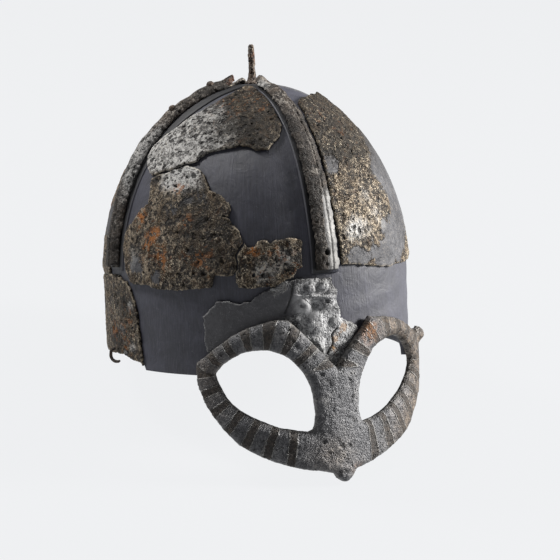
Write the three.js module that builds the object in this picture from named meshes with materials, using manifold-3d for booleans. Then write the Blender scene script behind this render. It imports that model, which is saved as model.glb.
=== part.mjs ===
// A restored iron spectacle helmet of the Norse kind: a smooth grey filler shell that carries
// what is left of the iron cap, which is plates, ridge bands, brow fragments, a spike and an eye guard.
// Millimetres. It is drawn upright, +Z up, face towards -Y, the wearer's left towards +X.
// At the end it is laid back on the tip of its eye guard and the nape of its shell, as it rests by itself.
import * as THREE from "three";
import { mergeVertices } from "three/addons/utils/BufferGeometryUtils.js";
import Module from "manifold-3d";

const wasm = await Module();
wasm.setup();

// Shell
const shellHalfWidth = 99;
const shellHalfLength = 116;
const domeHeight = 126; // brow line to apex
const browHeight = 53; // brow line to rim
const apexForward = 8; // the apex lies this far in front of the middle
const sideFullness = 2.1; // exponents of the dome's rounded outline
const topFullness = 2;
const shellWall = 3;
const rimDrop = 2.03; // where the rim is, as a drop
const eyeCutMargin = 5; // the shell is cut back from each eye hole by this much above and below
const eyeCutSide = 10; // and by this much beside it

// Plates and fragments
const seatGap = 0.3; // clearance between a piece and what carries it
const plateThickness = 2;
const browThickness = 1.5;
const plateMargin = 0.9; // from a plate's edge to the strip or band beside it
const rivetHoleRadius = 1.4;

// Ridge bands, and the low strips of filler that carry them
const bandHalfTop = 5.4;
const bandHalfBrow = 8.1;
const bandCrest = 4.1; // height of the front band's crest above the strip
const bandThickness = 1.8;
const stripRise = 1;
const stripRoot = 1.5; // a strip reaches this deep into the shell wall
const stripEnd = 0.955; // drop at which the strips stop
const bandHoleRadius = 1.9;

// Eye guard
const guardSweep = 48; // degrees round the brow, to each side of the nose
const guardTop = 19; // below the brow line
const guardDepth = 99;
const guardStandoff = 2.6; // from the shell to the guard's back
const guardThickness = 5.5;
const guardEdge = 0.35; // thickness at the guard's edges, as a share
const guardLean = 4; // how much further forward its lower edge stands
const tipHalfWidth = 7;
const tipLength = 8;
const knobRadius = 5.5; // the lump at its outer corner, on the wearer's left only
const tipMiddle = 0.04; // the tip is a little to the wearer's left, as a share of guardSweep

// Spike, rivets and mail hook
const spikeHeight = 27;
const spikeFootRadius = 5;
const spikeFootHeight = 3;
const spikeBaseRadius = 2.7;
const spikeTopRadius = 1.7;
const rivetRadius = 2.6;
const rivetHeight = 2.2;
const hookRadius = 4.5;
const hookWireRadius = 1.1;
const hookTwist = 41; // degrees that its plane is turned out of the wall

// Rest
const wornFlat = 0.6; // how much is worn off where it rests, at the nape and the nose tip

// Facets
const turnsAround = 40;
const domeRows = 12;
const bandRows = 14;
const guardSections = 44;
const guardSides = 8;

const { degToRad, radToDeg, clamp, lerp } = THREE.MathUtils;

// A place on the helmet has a turn round it, in degrees, 0 at the face and positive to the wearer's left,
// and a drop down it: 0 at the apex, 1 at the brow line and 2 at the rim.
function shellPoint(turn, drop) {
  const around = degToRad(turn);
  const climb = (clamp(1 - drop, 0, 1) * Math.PI) / 2;
  const reach = Math.cos(climb) ** (2 / sideFullness);
  const rise = drop < 1 ? domeHeight * Math.sin(climb) ** (2 / topFullness) : (1 - drop) * browHeight;
  return new THREE.Vector3(
    shellHalfWidth * Math.sin(around) * reach,
    -shellHalfLength * Math.cos(around) * reach - apexForward * Math.sin(climb) ** 2,
    rise,
  );
}

// The point with its outward normal, and the direction that runs sideways to the wearer's right of it.
function shellFrame(turn, drop) {
  const turnStep = 0.5;
  const dropStep = 0.004;
  const low = Math.max(drop, 2 * dropStep);
  const across = shellPoint(turn + turnStep, low).sub(shellPoint(turn - turnStep, low));
  const down = shellPoint(turn, low + dropStep).sub(shellPoint(turn, low - dropStep));
  const out = new THREE.Vector3().crossVectors(down, across).normalize();
  const side = across.normalize();
  return { point: shellPoint(turn, drop), out: drop > 0 ? out : new THREE.Vector3(0, 0, 1), side };
}

function onShell(turn, drop, offset) {
  const { point, out } = shellFrame(turn, drop);
  return point.addScaledVector(out, offset);
}

// The flat chart on which outlines are drawn: the helmet seen from above, the wall spread out round it.
function onChart({ turn, drop }) {
  return new THREE.Vector2(drop * Math.sin(degToRad(turn)), -drop * Math.cos(degToRad(turn)));
}

function chartTurn(x, y) {
  return radToDeg(Math.atan2(x, -y));
}

// Moves every vertex of a closed geometry by a function and makes the result a solid.
function solid(geometry, place) {
  const bare = geometry.clone();
  bare.deleteAttribute("normal");
  bare.deleteAttribute("uv");
  const merged = mergeVertices(bare, 1e-5);
  const at = merged.getAttribute("position");
  const vertex = new THREE.Vector3();
  for (let i = 0; i < at.count; i++) {
    const moved = place(vertex.fromBufferAttribute(at, i).clone());
    at.setXYZ(i, moved.x, moved.y, moved.z);
  }
  const corners = [];
  for (let i = 0; i < merged.index.count; i += 3) {
    const [a, b, c] = merged.index.array.subarray(i, i + 3);
    if (a !== b && b !== c && c !== a) corners.push(a, b, c);
  }
  const facing = (triVerts) =>
    new wasm.Manifold(new wasm.Mesh({ numProp: 3, vertProperties: at.array, triVerts }));
  const made = facing(new Uint32Array(corners));
  return made.volume() > 0 ? made : facing(new Uint32Array(corners.reverse()));
}

// A layer of the dome between two heights above the shell's surface, down to a given drop.
function domeLayer(low, high, bottomDrop) {
  const drops = Array.from({ length: domeRows + 1 }, (_, i) => i / domeRows);
  if (bottomDrop > 1) drops.push(bottomDrop);
  const inner = drops.map((drop) => new THREE.Vector2(drop, low));
  const outer = drops.map((drop) => new THREE.Vector2(drop, high)).reverse();
  const lathe = new THREE.LatheGeometry([...inner, ...outer], turnsAround);
  return solid(lathe, (v) => onShell(chartTurn(v.x, -v.z), Math.hypot(v.x, v.z), v.y));
}

// A cookie cutter: the outline carried outwards from the helmet's middle, through every layer.
function cutter(outline, nearShare = 0.4, farShare = 2.4) {
  const shape = new THREE.Shape(outline.map(onChart));
  const block = new THREE.ExtrudeGeometry(shape, { depth: 1, steps: 1, bevelEnabled: false });
  return solid(block, (v) => {
    const surface = shellPoint(chartTurn(v.x, v.y), Math.hypot(v.x, v.y));
    return surface.multiplyScalar(lerp(nearShare, farShare, v.z));
  });
}

// A bar down a meridian. Its shape has x as a share of the half width there, and y above the shell.
function meridianBar(turn, shape, from, to, halfWidth) {
  const bar = new THREE.ExtrudeGeometry(shape, { depth: 1, steps: bandRows, bevelEnabled: false });
  return solid(bar, (v) => {
    const drop = lerp(from, to, v.z);
    const { point, out, side } = shellFrame(turn, drop);
    const reach = v.x * halfWidth(drop);
    const sag = reach ** 2 / (2 * shellHalfWidth);
    return point.addScaledVector(side, reach).addScaledVector(out, v.y - sag);
  });
}

function rectangle(left, right, low, high) {
  return new THREE.Shape([
    new THREE.Vector2(left, low),
    new THREE.Vector2(right, low),
    new THREE.Vector2(right, high),
    new THREE.Vector2(left, high),
  ]);
}

// A round pin along the surface normal, for holes.
function pin(turn, drop, radius) {
  const drill = new THREE.CylinderGeometry(radius, radius, 30, 12);
  return solid(drill, (v) => {
    const { point, out, side } = shellFrame(turn, drop);
    const up = new THREE.Vector3().crossVectors(out, side);
    return point.addScaledVector(side, v.x).addScaledVector(up, v.z).addScaledVector(out, v.y);
  });
}

// The four meridians that carry a ridge band. The strip shows beside its band where it reaches further.
// left and right are as seen from outside. The right band has sprung up, so its crest is higher by a share.
const bands = [
  {
    name: "front", turn: 0, from: 0.07, to: 0.945, lift: 1, left: 10.8, right: 8.4,
    rivets: [], holes: [0.89],
  },
  {
    name: "right", turn: -91, from: 0.12, to: 0.945, lift: 1.35, left: 8.4, right: 12.6,
    rivets: [0.17, 0.345], holes: [],
  },
  {
    name: "back", turn: 180, from: 0.08, to: 0.945, lift: 1, left: 8.4, right: 8.4,
    rivets: [0.3, 0.86], holes: [],
  },
  {
    name: "left", turn: 90, from: 0.34, to: 0.945, lift: 1, left: 8.4, right: 8.4,
    rivets: [0.42, 0.86], holes: [],
  },
];

const taper = (drop) => lerp(bandHalfTop, bandHalfBrow, clamp(drop, 0, 1)) / bandHalfBrow;
const bandHalf = (drop) => bandHalfBrow * taper(drop);

function strip({ turn, left, right }, extra, low, high, end) {
  const shape = rectangle(-left - extra, right + extra, low, high);
  return meridianBar(turn, shape, 0, end, taper);
}

// An arched strip of iron, thin at its edges, with a rounded crest.
function ridgeBand({ turn, from, to, lift, holes }) {
  const foot = stripRise + seatGap;
  const crest = bandCrest * lift;
  const shape = new THREE.Shape();
  shape.moveTo(-1, foot);
  shape.lineTo(-1, foot + bandThickness / 2);
  shape.quadraticCurveTo(-0.55, foot + crest, 0, foot + crest);
  shape.quadraticCurveTo(0.55, foot + crest, 1, foot + bandThickness / 2);
  shape.lineTo(1, foot);
  shape.quadraticCurveTo(0, foot + 2 * (crest - bandThickness), -1, foot);
  const flat = new THREE.Shape(shape.getPoints(4));
  let band = meridianBar(turn, flat, from, to, bandHalf);
  for (const drop of holes) band = band.subtract(pin(turn, drop, bandHoleRadius));
  return band;
}

// Outlines of what is left of the iron, clockwise or not, each a row per corner.
// Where one runs past a strip or band, it is cut back there.
const plates = {
  plate_front_right_upper: [
    [-45, 0.01], [-91, 0.06], [-91, 0.5], [-88, 0.55], [-82, 0.59], [-76, 0.62], [-68, 0.6], [-58, 0.57],
    [-52, 0.56], [-49, 0.53], [-40, 0.51], [-32, 0.5], [-28, 0.5], [-24, 0.52], [-19, 0.52], [-16, 0.49],
    [-8, 0.42], [4, 0.36], [8, 0.06],
  ],
  plate_front_right_lower: [
    [-75, 0.635], [-70, 0.615], [-62, 0.6], [-56, 0.58], [-51, 0.595], [-48, 0.62], [-46, 0.65], [-42, 0.68],
    [-38, 0.7], [-35.5, 0.73], [-37.5, 0.76], [-34, 0.785], [-31, 0.83], [-31, 0.86], [-33, 0.89],
    [-33, 0.93],
    [-35, 0.95], [-41, 0.95], [-42, 0.99], [-54, 1], [-70, 0.995], [-78, 0.985], [-81, 0.95], [-91, 0.89],
    [-91, 0.84], [-85, 0.815], [-80, 0.785], [-77, 0.75], [-73, 0.72], [-73, 0.69],
  ],
  plate_front_right_corner: [
    [-29.5, 0.85], [-26.5, 0.862], [-24.5, 0.84], [-20, 0.847], [-17, 0.836], [-10, 0.842], [-8.5, 0.86],
    [-9, 0.93], [-12, 0.945], [-16.5, 0.97], [-21, 0.985], [-32.5, 0.99], [-33.5, 0.955], [-31.8, 0.93],
    [-31.5, 0.88],
  ],
  plate_front_left: [
    [0, 0.31], [12, 0.29], [24, 0.27], [36, 0.255], [48, 0.262], [62, 0.25], [78, 0.262], [90, 0.25],
    [90, 0.965], [76, 0.97], [57, 0.96], [42, 0.965], [30, 0.962], [14, 0.945], [0, 0.935],
  ],
  plate_back_left: [
    [90, 0.06], [90, 0.975], [100, 0.982], [118, 0.97], [136, 0.985], [158, 0.978], [180, 0.985], [180, 0.06],
  ],
  plate_back_right: [
    [-91, 0.06], [-91, 0.975], [-104, 0.982], [-116, 0.965], [-123, 0.88], [-129, 0.885], [-138, 0.975],
    [-160, 0.984], [-180, 0.978], [-180, 0.06],
  ],
};

const browFragments = {
  brow_fragment_side: [
    [-118, 1.02], [-110, 0.99], [-101, 1], [-90, 0.985], [-83, 1.02], [-78, 1.12], [-76, 1.3], [-75, 1.55],
    [-74, 1.8], [-73.5, 1.985], [-76, 1.93], [-79, 1.95], [-83, 1.9], [-88, 1.91], [-93, 1.88], [-103, 1.91],
    [-110, 1.86], [-117, 1.9], [-121, 1.6], [-117, 1.3],
  ],
  brow_fragment_front: [
    [-44, 1.76], [-45, 1.55], [-45.5, 1.34], [-43.5, 1.24], [-41, 1.13], [-35.5, 1.13], [-32, 1.15],
    [-28.5, 1.12], [-24, 1.02], [-18, 0.985], [-10, 0.965], [1, 0.97], [3.5, 1.05], [3, 1.15], [4.5, 1.38],
    [8.5, 1.45], [12, 1.52], [8, 1.7], [2.5, 1.95], [-1, 1.95], [-8, 1.62], [-15, 1.44], [-25, 1.42],
    [-36, 1.6],
  ],
};

// The shell is broken away below the side fragment, up to these places.
const sideBreak = [
  [-72.5, 2.25], [-73.2, 1.99], [-76, 1.92], [-84, 1.87], [-95, 1.86], [-104, 1.87], [-112, 1.83],
  [-119, 1.87], [-126, 1.95], [-131, 2.05], [-133, 2.25],
];

const outlineOf = (rows) => rows.map(([turn, drop]) => ({ turn, drop }));

function fragments() {
  const layer = domeLayer(seatGap, seatGap + plateThickness, 1);
  const browLayer = domeLayer(seatGap, seatGap + browThickness, rimDrop);
  const beside = bands.map((band) => strip(band, plateMargin, -20, 20, 1));
  const foot = pin(0, 0, spikeFootRadius + plateMargin);
  const made = {};
  for (const [name, rows] of Object.entries(plates)) {
    made[name] = [...beside, foot].reduce(
      (left, tool) => left.subtract(tool),
      layer.intersect(cutter(outlineOf(rows))),
    );
  }
  for (const [name, rows] of Object.entries(browFragments)) {
    made[name] = browLayer.intersect(cutter(outlineOf(rows)));
  }
  made.plate_front_right_corner = made.plate_front_right_corner.subtract(pin(-27, 0.95, rivetHoleRadius));
  made.plate_front_right_lower = made.plate_front_right_lower.subtract(pin(-70.5, 0.95, rivetHoleRadius));
  return made;
}

// Sections round one eye, from the outer corner over the brow to the nose and back below the eye.
// Turns are shares of guardSweep and depths of guardDepth, crest is how high the outer edge stays.
const guardRows = [
  { holeTurn: 0.85, holeDepth: 0.343, rimTurn: 1, rimDepth: 0.313, crest: 0 },
  { holeTurn: 0.78, holeDepth: 0.263, rimTurn: 0.94, rimDepth: 0.222, crest: 0 },
  { holeTurn: 0.67, holeDepth: 0.207, rimTurn: 0.8, rimDepth: 0.131, crest: 0 },
  { holeTurn: 0.54, holeDepth: 0.185, rimTurn: 0.63, rimDepth: 0.05, crest: 0 },
  { holeTurn: 0.42, holeDepth: 0.202, rimTurn: 0.475, rimDepth: 0.008, crest: 0 },
  { holeTurn: 0.315, holeDepth: 0.26, rimTurn: 0.325, rimDepth: 0.01, crest: 0 },
  { holeTurn: 0.24, holeDepth: 0.338, rimTurn: 0.13, rimDepth: 0.19, crest: 0 },
  { holeTurn: 0.185, holeDepth: 0.434, rimTurn: -0.012, rimDepth: 0.33, crest: 0.5 },
  { holeTurn: 0.168, holeDepth: 0.545, rimTurn: -0.012, rimDepth: 0.495, crest: 1 },
  { holeTurn: 0.168, holeDepth: 0.616, rimTurn: -0.012, rimDepth: 0.737, crest: 1 },
  { holeTurn: 0.188, holeDepth: 0.697, rimTurn: -0.012, rimDepth: 0.99, crest: 0.6 },
  { holeTurn: 0.285, holeDepth: 0.7, rimTurn: 0.135, rimDepth: 0.985, crest: 0 },
  { holeTurn: 0.415, holeDepth: 0.672, rimTurn: 0.344, rimDepth: 0.944, crest: 0 },
  { holeTurn: 0.55, holeDepth: 0.613, rimTurn: 0.54, rimDepth: 0.876, crest: 0 },
  { holeTurn: 0.68, holeDepth: 0.543, rimTurn: 0.727, rimDepth: 0.773, crest: 0 },
  { holeTurn: 0.785, holeDepth: 0.47, rimTurn: 0.88, rimDepth: 0.631, crest: 0 },
  { holeTurn: 0.84, holeDepth: 0.4, rimTurn: 0.975, rimDepth: 0.455, crest: 0 },
];

const guardDrop = (depth) => 1 + (guardTop + depth * guardDepth) / browHeight;

function onGuard(turnShare, depthShare, height) {
  const lean = guardLean * clamp(depthShare, 0, 1.2);
  return onShell(turnShare * guardSweep, guardDrop(depthShare), guardStandoff + lean + height);
}

const closedCurve = (points) => new THREE.CatmullRomCurve3(points, true, "centripetal");

// One ring of the guard. wearerSide is -1 for the wearer's right eye and 1 for the left.
function guardLoop(wearerSide) {
  const hole = closedCurve(guardRows.map((r) => new THREE.Vector3(r.holeTurn, r.holeDepth, 0)));
  const rim = closedCurve(guardRows.map((r) => new THREE.Vector3(r.rimTurn, r.rimDepth, r.crest)));
  const ring = new THREE.TorusGeometry(2, 1, guardSides, guardSections);
  return solid(ring, (v) => {
    const along = (Math.atan2(v.y, v.x) / (2 * Math.PI) + 1) % 1;
    const tube = Math.atan2(v.z, Math.hypot(v.x, v.y) - 2);
    const across = (1 + Math.cos(tube)) / 2;
    const inner = hole.getPoint(along);
    const outer = rim.getPoint(along);
    const spot = inner.clone().lerp(outer, across);
    const edge = across > 0.5 ? lerp(guardEdge, 1, clamp(outer.z, 0, 1)) : guardEdge;
    const face = lerp(edge, 1, Math.abs(Math.sin(tube)));
    const height = Math.sin(tube) < -0.01 ? 0 : face * guardThickness;
    return onGuard(wearerSide * spot.x, spot.y, height);
  });
}

// The lump that ends the nose guard.
function guardTip() {
  const half = tipHalfWidth / shellHalfWidth;
  const end = 1 + tipLength / guardDepth;
  const shape = new THREE.Shape();
  shape.moveTo(-1.3 * half, 0.93);
  shape.lineTo(1.3 * half, 0.93);
  shape.lineTo(half, 1.02);
  shape.quadraticCurveTo(0.8 * half, end, 0, end);
  shape.quadraticCurveTo(-0.8 * half, end, -half, 1.02);
  const lump = new THREE.ExtrudeGeometry(new THREE.Shape(shape.getPoints(3)), {
    depth: 1,
    bevelEnabled: false,
  });
  return solid(lump, (v) =>
    onGuard(tipMiddle + radToDeg(v.x) / guardSweep, v.y, v.z * guardThickness * 0.9),
  );
}

function guardKnob() {
  const ball = new THREE.IcosahedronGeometry(1, 1);
  return solid(ball, (v) => {
    const across = (v.x * knobRadius) / (degToRad(guardSweep) * shellHalfWidth);
    return onGuard(0.95 + across, 0.235 + (v.y * knobRadius) / guardDepth, knobRadius * (0.9 + 0.95 * v.z));
  });
}

function guard() {
  return guardLoop(-1).add(guardLoop(1)).add(guardTip()).add(guardKnob());
}

// The shell: a hollow dome and wall with the four strips, open below and cut back round the eyes.
function fillerShell() {
  let shell = domeLayer(-shellWall, 0, rimDrop);
  for (const band of bands) shell = shell.add(strip(band, 0, -stripRoot, stripRise, stripEnd));
  const grow = 1 + eyeCutMargin / (0.25 * guardDepth);
  const spread = 1 + eyeCutSide / (0.35 * degToRad(guardSweep) * shellHalfWidth);
  const middle = { turn: 0.5, depth: 0.44 };
  const hole = closedCurve(guardRows.map((r) => new THREE.Vector3(r.holeTurn, r.holeDepth, 0)));
  for (const wearerSide of [-1, 1]) {
    const outline = hole.getPoints(28).map((p) => ({
      turn: wearerSide * guardSweep * (middle.turn + (p.x - middle.turn) * spread),
      drop: guardDrop(middle.depth + (p.y - middle.depth) * grow),
    }));
    shell = shell.subtract(cutter(outline.slice(0, -1), 0.5, 1.5));
  }
  return shell.subtract(cutter(outlineOf(sideBreak), 0.5, 1.5));
}

function spike() {
  const foot = stripRise + seatGap;
  const profile = [
    [0, foot],
    [spikeFootRadius, foot],
    [spikeFootRadius * 0.8, foot + spikeFootHeight * 0.5],
    [spikeBaseRadius, foot + spikeFootHeight],
    [spikeTopRadius, spikeHeight * 0.96],
    [spikeTopRadius * 0.6, spikeHeight],
    [0, spikeHeight],
  ].map(([x, y]) => new THREE.Vector2(x, y));
  const apex = shellPoint(0, 0);
  return solid(new THREE.LatheGeometry(profile, 10), (v) => new THREE.Vector3(v.x, -v.z, v.y).add(apex));
}

// A rivet head, domed, standing on what is below it.
function rivet(turn, drop, seat) {
  const profile = [
    [0, 0],
    [rivetRadius, 0],
    [rivetRadius * 0.9, rivetHeight * 0.55],
    [rivetRadius * 0.5, rivetHeight * 0.92],
    [0, rivetHeight],
  ].map(([x, y]) => new THREE.Vector2(x, y));
  const { point, out, side } = shellFrame(turn, drop);
  const up = new THREE.Vector3().crossVectors(out, side);
  return solid(new THREE.LatheGeometry(profile, 10), (v) =>
    point.clone().addScaledVector(side, v.x).addScaledVector(up, v.z).addScaledVector(out, seat + v.y),
  );
}

// What is left of a mail ring, hanging open below the side fragment.
function mailHook() {
  const { point, out, side } = shellFrame(-91, 1.91);
  const along = side
    .clone()
    .multiplyScalar(Math.cos(degToRad(hookTwist)))
    .addScaledVector(out, -Math.sin(degToRad(hookTwist)));
  const ends = [100, 300];
  const topOut = -hookRadius * Math.cos(degToRad(ends[0])) * Math.sin(degToRad(hookTwist));
  const seat = seatGap + browThickness + seatGap + hookWireRadius;
  const middle = point.addScaledVector(out, seat - topOut);
  const arc = new THREE.CatmullRomCurve3(
    [ends[0], 130, 165, 200, 235, 270, ends[1]].map((degrees) => {
      const angle = degToRad(degrees);
      return middle
        .clone()
        .addScaledVector(along, hookRadius * Math.cos(angle))
        .add(new THREE.Vector3(0, 0, hookRadius * Math.sin(angle)));
    }),
  );
  const wire = new THREE.Shape().absarc(0, 0, hookWireRadius, 0, 2 * Math.PI);
  const round = new THREE.Shape(wire.getPoints(4).slice(0, -1));
  return solid(
    new THREE.ExtrudeGeometry(round, { steps: 12, bevelEnabled: false, extrudePath: arc }),
    (v) => v,
  );
}

const finishes = {
  filler: { color: 0x4a4a52, roughness: 0.7, metalness: 0 },
  plate: { color: 0x5d564d, roughness: 0.8, metalness: 0.35 },
  band: { color: 0x5b554d, roughness: 0.75, metalness: 0.35 },
  brow: { color: 0x6e6d6e, roughness: 0.65, metalness: 0.45 },
  guard: { color: 0x5a5855, roughness: 0.65, metalness: 0.5 },
  fitting: { color: 0x4b433a, roughness: 0.8, metalness: 0.3 },
};

function node(name, body, finish) {
  const { vertProperties, triVerts, numProp } = body.getMesh();
  const geometry = new THREE.BufferGeometry();
  geometry.setAttribute("position", new THREE.BufferAttribute(vertProperties, numProp));
  geometry.setIndex(new THREE.BufferAttribute(triVerts, 1));
  const mesh = new THREE.Mesh(geometry, new THREE.MeshStandardMaterial(finishes[finish]));
  mesh.name = name;
  return mesh;
}

// At rest the helmet leans back until the nape of its rim touches the surface that its nose tip stands on.
const tipEnd = onGuard(tipMiddle, 1 + tipLength / guardDepth, 0);
const nape = shellPoint(180, rimDrop);
const restTilt = Math.atan2(nape.z - tipEnd.z, nape.y - tipEnd.y);
const restUp = new THREE.Vector3(0, -Math.sin(restTilt), Math.cos(restTilt));
const worn = (body) => body.trimByPlane(restUp.toArray(), nape.dot(restUp) + wornFlat);

const upright = new THREE.Group();
upright.add(node("filler_shell", worn(fillerShell()), "filler"));
for (const [name, body] of Object.entries(fragments())) {
  upright.add(node(name, body, name.startsWith("brow") ? "brow" : "plate"));
}
for (const band of bands) {
  upright.add(node(`band_${band.name}`, ridgeBand(band), "band"));
  band.rivets.forEach((drop, i) => {
    const seat = stripRise + bandCrest * band.lift + 2 * seatGap;
    upright.add(node(`rivet_${band.name}_${i + 1}`, rivet(band.turn, drop, seat), "fitting"));
  });
}
upright.add(node("eye_guard", worn(guard()), "guard"));
upright.add(node("spike", spike(), "fitting"));
upright.add(node("mail_hook", mailHook(), "fitting"));

upright.rotation.x = -restTilt;
const helmet = new THREE.Group();
helmet.add(upright);
helmet.updateMatrixWorld(true);
const box = new THREE.Box3().setFromObject(helmet, true);
const centre = box.getCenter(new THREE.Vector3());
upright.position.set(-centre.x, -centre.y, -box.min.z);

export default helmet;
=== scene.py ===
import math
import random

import bpy
import numpy as np
from mathutils import Matrix, Vector
from mathutils.geometry import delaunay_2d_cdt


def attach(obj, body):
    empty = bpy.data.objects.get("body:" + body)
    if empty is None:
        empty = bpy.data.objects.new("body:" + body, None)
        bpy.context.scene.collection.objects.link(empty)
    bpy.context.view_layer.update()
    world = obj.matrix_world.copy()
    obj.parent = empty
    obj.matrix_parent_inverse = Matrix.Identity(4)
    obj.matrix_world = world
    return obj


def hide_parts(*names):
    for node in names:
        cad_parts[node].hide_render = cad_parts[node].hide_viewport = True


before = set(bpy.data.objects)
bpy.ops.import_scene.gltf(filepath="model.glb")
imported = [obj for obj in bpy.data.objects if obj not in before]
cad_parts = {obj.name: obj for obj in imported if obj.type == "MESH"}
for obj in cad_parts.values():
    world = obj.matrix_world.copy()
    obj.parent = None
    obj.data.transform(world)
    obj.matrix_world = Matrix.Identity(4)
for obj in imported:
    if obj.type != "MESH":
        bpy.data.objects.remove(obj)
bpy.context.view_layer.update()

# The helmet's own surface, in metres. A place on it is a turn round it in degrees, 0 at the face and
# growing to the wearer's left, and a drop down it: 0 at the apex, 1 at the brow line, 2 at the rim.
helmet = {
    "halfWidth": 0.099,
    "halfLength": 0.116,
    "domeHeight": 0.126,
    "browHeight": 0.053,
    "apexForward": 0.008,
    "sideFullness": 2.1,
    "rimDrop": 2.03,
    "restTilt": 0.2905123,
    "restShift": (0.000333, 0.017279, 0.08493),
}
meanRadius = 0.107
dropLength = 0.19  # down the dome, from the apex to the brow line
# the steps of turn and drop over which its slope is measured, and the least drop at which it is
probe = {"turn": 0.5, "drop": 0.004, "apex": 0.008}

toRest = Matrix.Translation(helmet["restShift"]) @ Matrix.Rotation(-helmet["restTilt"], 4, "X")


# a value kept between 0 and 1
def held(value):
    return np.clip(value, 0, 1)


# 1 at its middle, falling off to both sides over its width
def bell(value, middle, width):
    return np.exp(-(((value - middle) / width) ** 2))


# the point at a turn and a drop, in the helmet's own frame
def domePoint(turn, drop):
    around = np.radians(turn)
    climb = held(1 - drop) * np.pi / 2
    reach = np.cos(climb) ** (2 / helmet["sideFullness"])
    rise = np.where(drop < 1, helmet["domeHeight"] * np.sin(climb), (1 - drop) * helmet["browHeight"])
    forward = helmet["apexForward"] * np.sin(climb) ** 2
    return np.stack([
        helmet["halfWidth"] * np.sin(around) * reach,
        -helmet["halfLength"] * np.cos(around) * reach - forward,
        rise,
    ], -1)


# the point, the direction out of the surface, and the direction towards growing turn
def domeFrame(turn, drop):
    turn, drop = np.broadcast_arrays(np.asarray(turn, float), np.asarray(drop, float))
    low = np.maximum(drop, probe["apex"])
    across = domePoint(turn + probe["turn"], low) - domePoint(turn - probe["turn"], low)
    down = domePoint(turn, low + probe["drop"]) - domePoint(turn, low - probe["drop"])
    out = np.cross(down, across)
    out /= np.linalg.norm(out, axis=-1, keepdims=True)
    out = np.where((drop > 0.001)[..., None], out, (0.0, 0.0, 1.0))
    return domePoint(turn, drop), out, across / np.linalg.norm(across, axis=-1, keepdims=True)


# the point so far above the surface
def onDome(turn, drop, above):
    point, out, _ = domeFrame(turn, drop)
    return point + out * np.asarray(above)[..., None]


# a new object of the scene
def linked(name, data):
    made = bpy.data.objects.new(name, data)
    bpy.context.scene.collection.objects.link(made)
    return made


# one mesh from points in the helmet's own frame, laid back as the helmet rests
def makePiece(name, points, faces, fields):
    mesh = bpy.data.meshes.new(name)
    mesh.from_pydata(np.asarray(points).tolist(), [], faces)
    for field, values in fields.items():
        values = np.asarray(values, np.float32)
        kind = "FLOAT_VECTOR" if values.ndim == 2 else "FLOAT"
        attribute = mesh.attributes.new(field, kind, "POINT")
        attribute.data.foreach_set("vector" if values.ndim == 2 else "value", values.ravel())
    mesh.transform(toRest)
    mesh.shade_smooth()
    return linked(name, mesh)


# the faces of a tube of rings, closed at both ends
def tubeFaces(rings, sides):
    faces = []
    for i in range(rings - 1):
        for j in range(sides):
            a, b = i * sides + j, i * sides + (j + 1) % sides
            faces.append((a, b, b + sides, a + sides))
    return faces + [tuple(reversed(range(sides))), tuple(range((rings - 1) * sides, rings * sides))]


# where a point lies, for the brush strokes of the filler
def strokes(turn, drop):
    around = np.radians(turn)
    return np.stack([np.sin(around), np.cos(around), drop], -1)


# Shader and geometry trees as expressions
class Wire:
    def __init__(self, tree, socket):
        self.tree = tree
        self.socket = socket

    def plug(self, target, value):
        if isinstance(value, Wire):
            self.tree.links.new(value.socket, target)
        elif value is not None:
            target.default_value = value

    # any node: its settings first, then the values or links of its sockets
    def node(self, kind, settings=None, sockets=None, output=0):
        made = self.tree.nodes.new(kind)
        for key, value in (settings or {}).items():
            if key == "stops":
                ramp = made.color_ramp
                while len(ramp.elements) < len(value):
                    ramp.elements.new(0.5)
                for element, (place, colour) in zip(ramp.elements, value):
                    element.position = place
                    element.color = (*colour, 1)
            else:
                setattr(made, key, value)
        for key, value in (sockets or {}).items():
            self.plug(made.inputs[key], value)
        return Wire(self.tree, made.outputs[output] if made.outputs else None)

    def math(self, operation, first, second=None):
        return self.node("ShaderNodeMath", {"operation": operation}, {0: first, 1: second})

    def __add__(self, other):
        return self.math("ADD", self, other)

    def __radd__(self, other):
        return self.math("ADD", other, self)

    def __sub__(self, other):
        return self.math("SUBTRACT", self, other)

    def __rsub__(self, other):
        return self.math("SUBTRACT", other, self)

    def __mul__(self, other):
        return self.math("MULTIPLY", self, other)

    def __rmul__(self, other):
        return self.math("MULTIPLY", other, self)

    def __rtruediv__(self, other):
        return self.math("DIVIDE", other, self)

    # 0 below low, 1 above high, smooth between
    def step(self, low, high):
        return self.node("ShaderNodeMapRange", {"interpolation_type": "SMOOTHSTEP"}, {
            "Value": self, "From Min": low, "From Max": high,
        })

    def clamped(self):
        return self.node("ShaderNodeClamp", {}, {"Value": self})

    def noise(self, vector, scale, detail=2.0, rough=0.5, seed=0.0, warp=0.0):
        return self.node("ShaderNodeTexNoise", {"noise_dimensions": "4D"}, {
            "Vector": vector, "W": seed, "Scale": scale, "Detail": detail,
            "Roughness": rough, "Distortion": warp,
        })

    def cells(self, vector, scale):
        return self.node("ShaderNodeTexVoronoi", {"feature": "F1"}, {"Vector": vector, "Scale": scale})

    # a place pushed about a little, so that cells lose their straight sides
    def pushed(self, place, scale):
        drift = self.node("ShaderNodeTexNoise", {}, {"Vector": place, "Scale": scale, "Detail": 2.0}, "Color")
        return self.node("ShaderNodeVectorMath", {"operation": "MULTIPLY_ADD"}, {
            0: drift, 1: (0.004, 0.004, 0.004), 2: place,
        })

    # below where the mask is 0, above where it is 1
    def colours(self, mask, below, above):
        def solid(colour):
            return colour if isinstance(colour, Wire) else (*colour, 1)
        return self.node("ShaderNodeMix", {"data_type": "RGBA"}, {
            0: mask, 6: solid(below), 7: solid(above),
        }, 2)

    def field(self, name, output="Fac"):
        return self.node("ShaderNodeAttribute", {"attribute_name": name}, {}, output)


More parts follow.
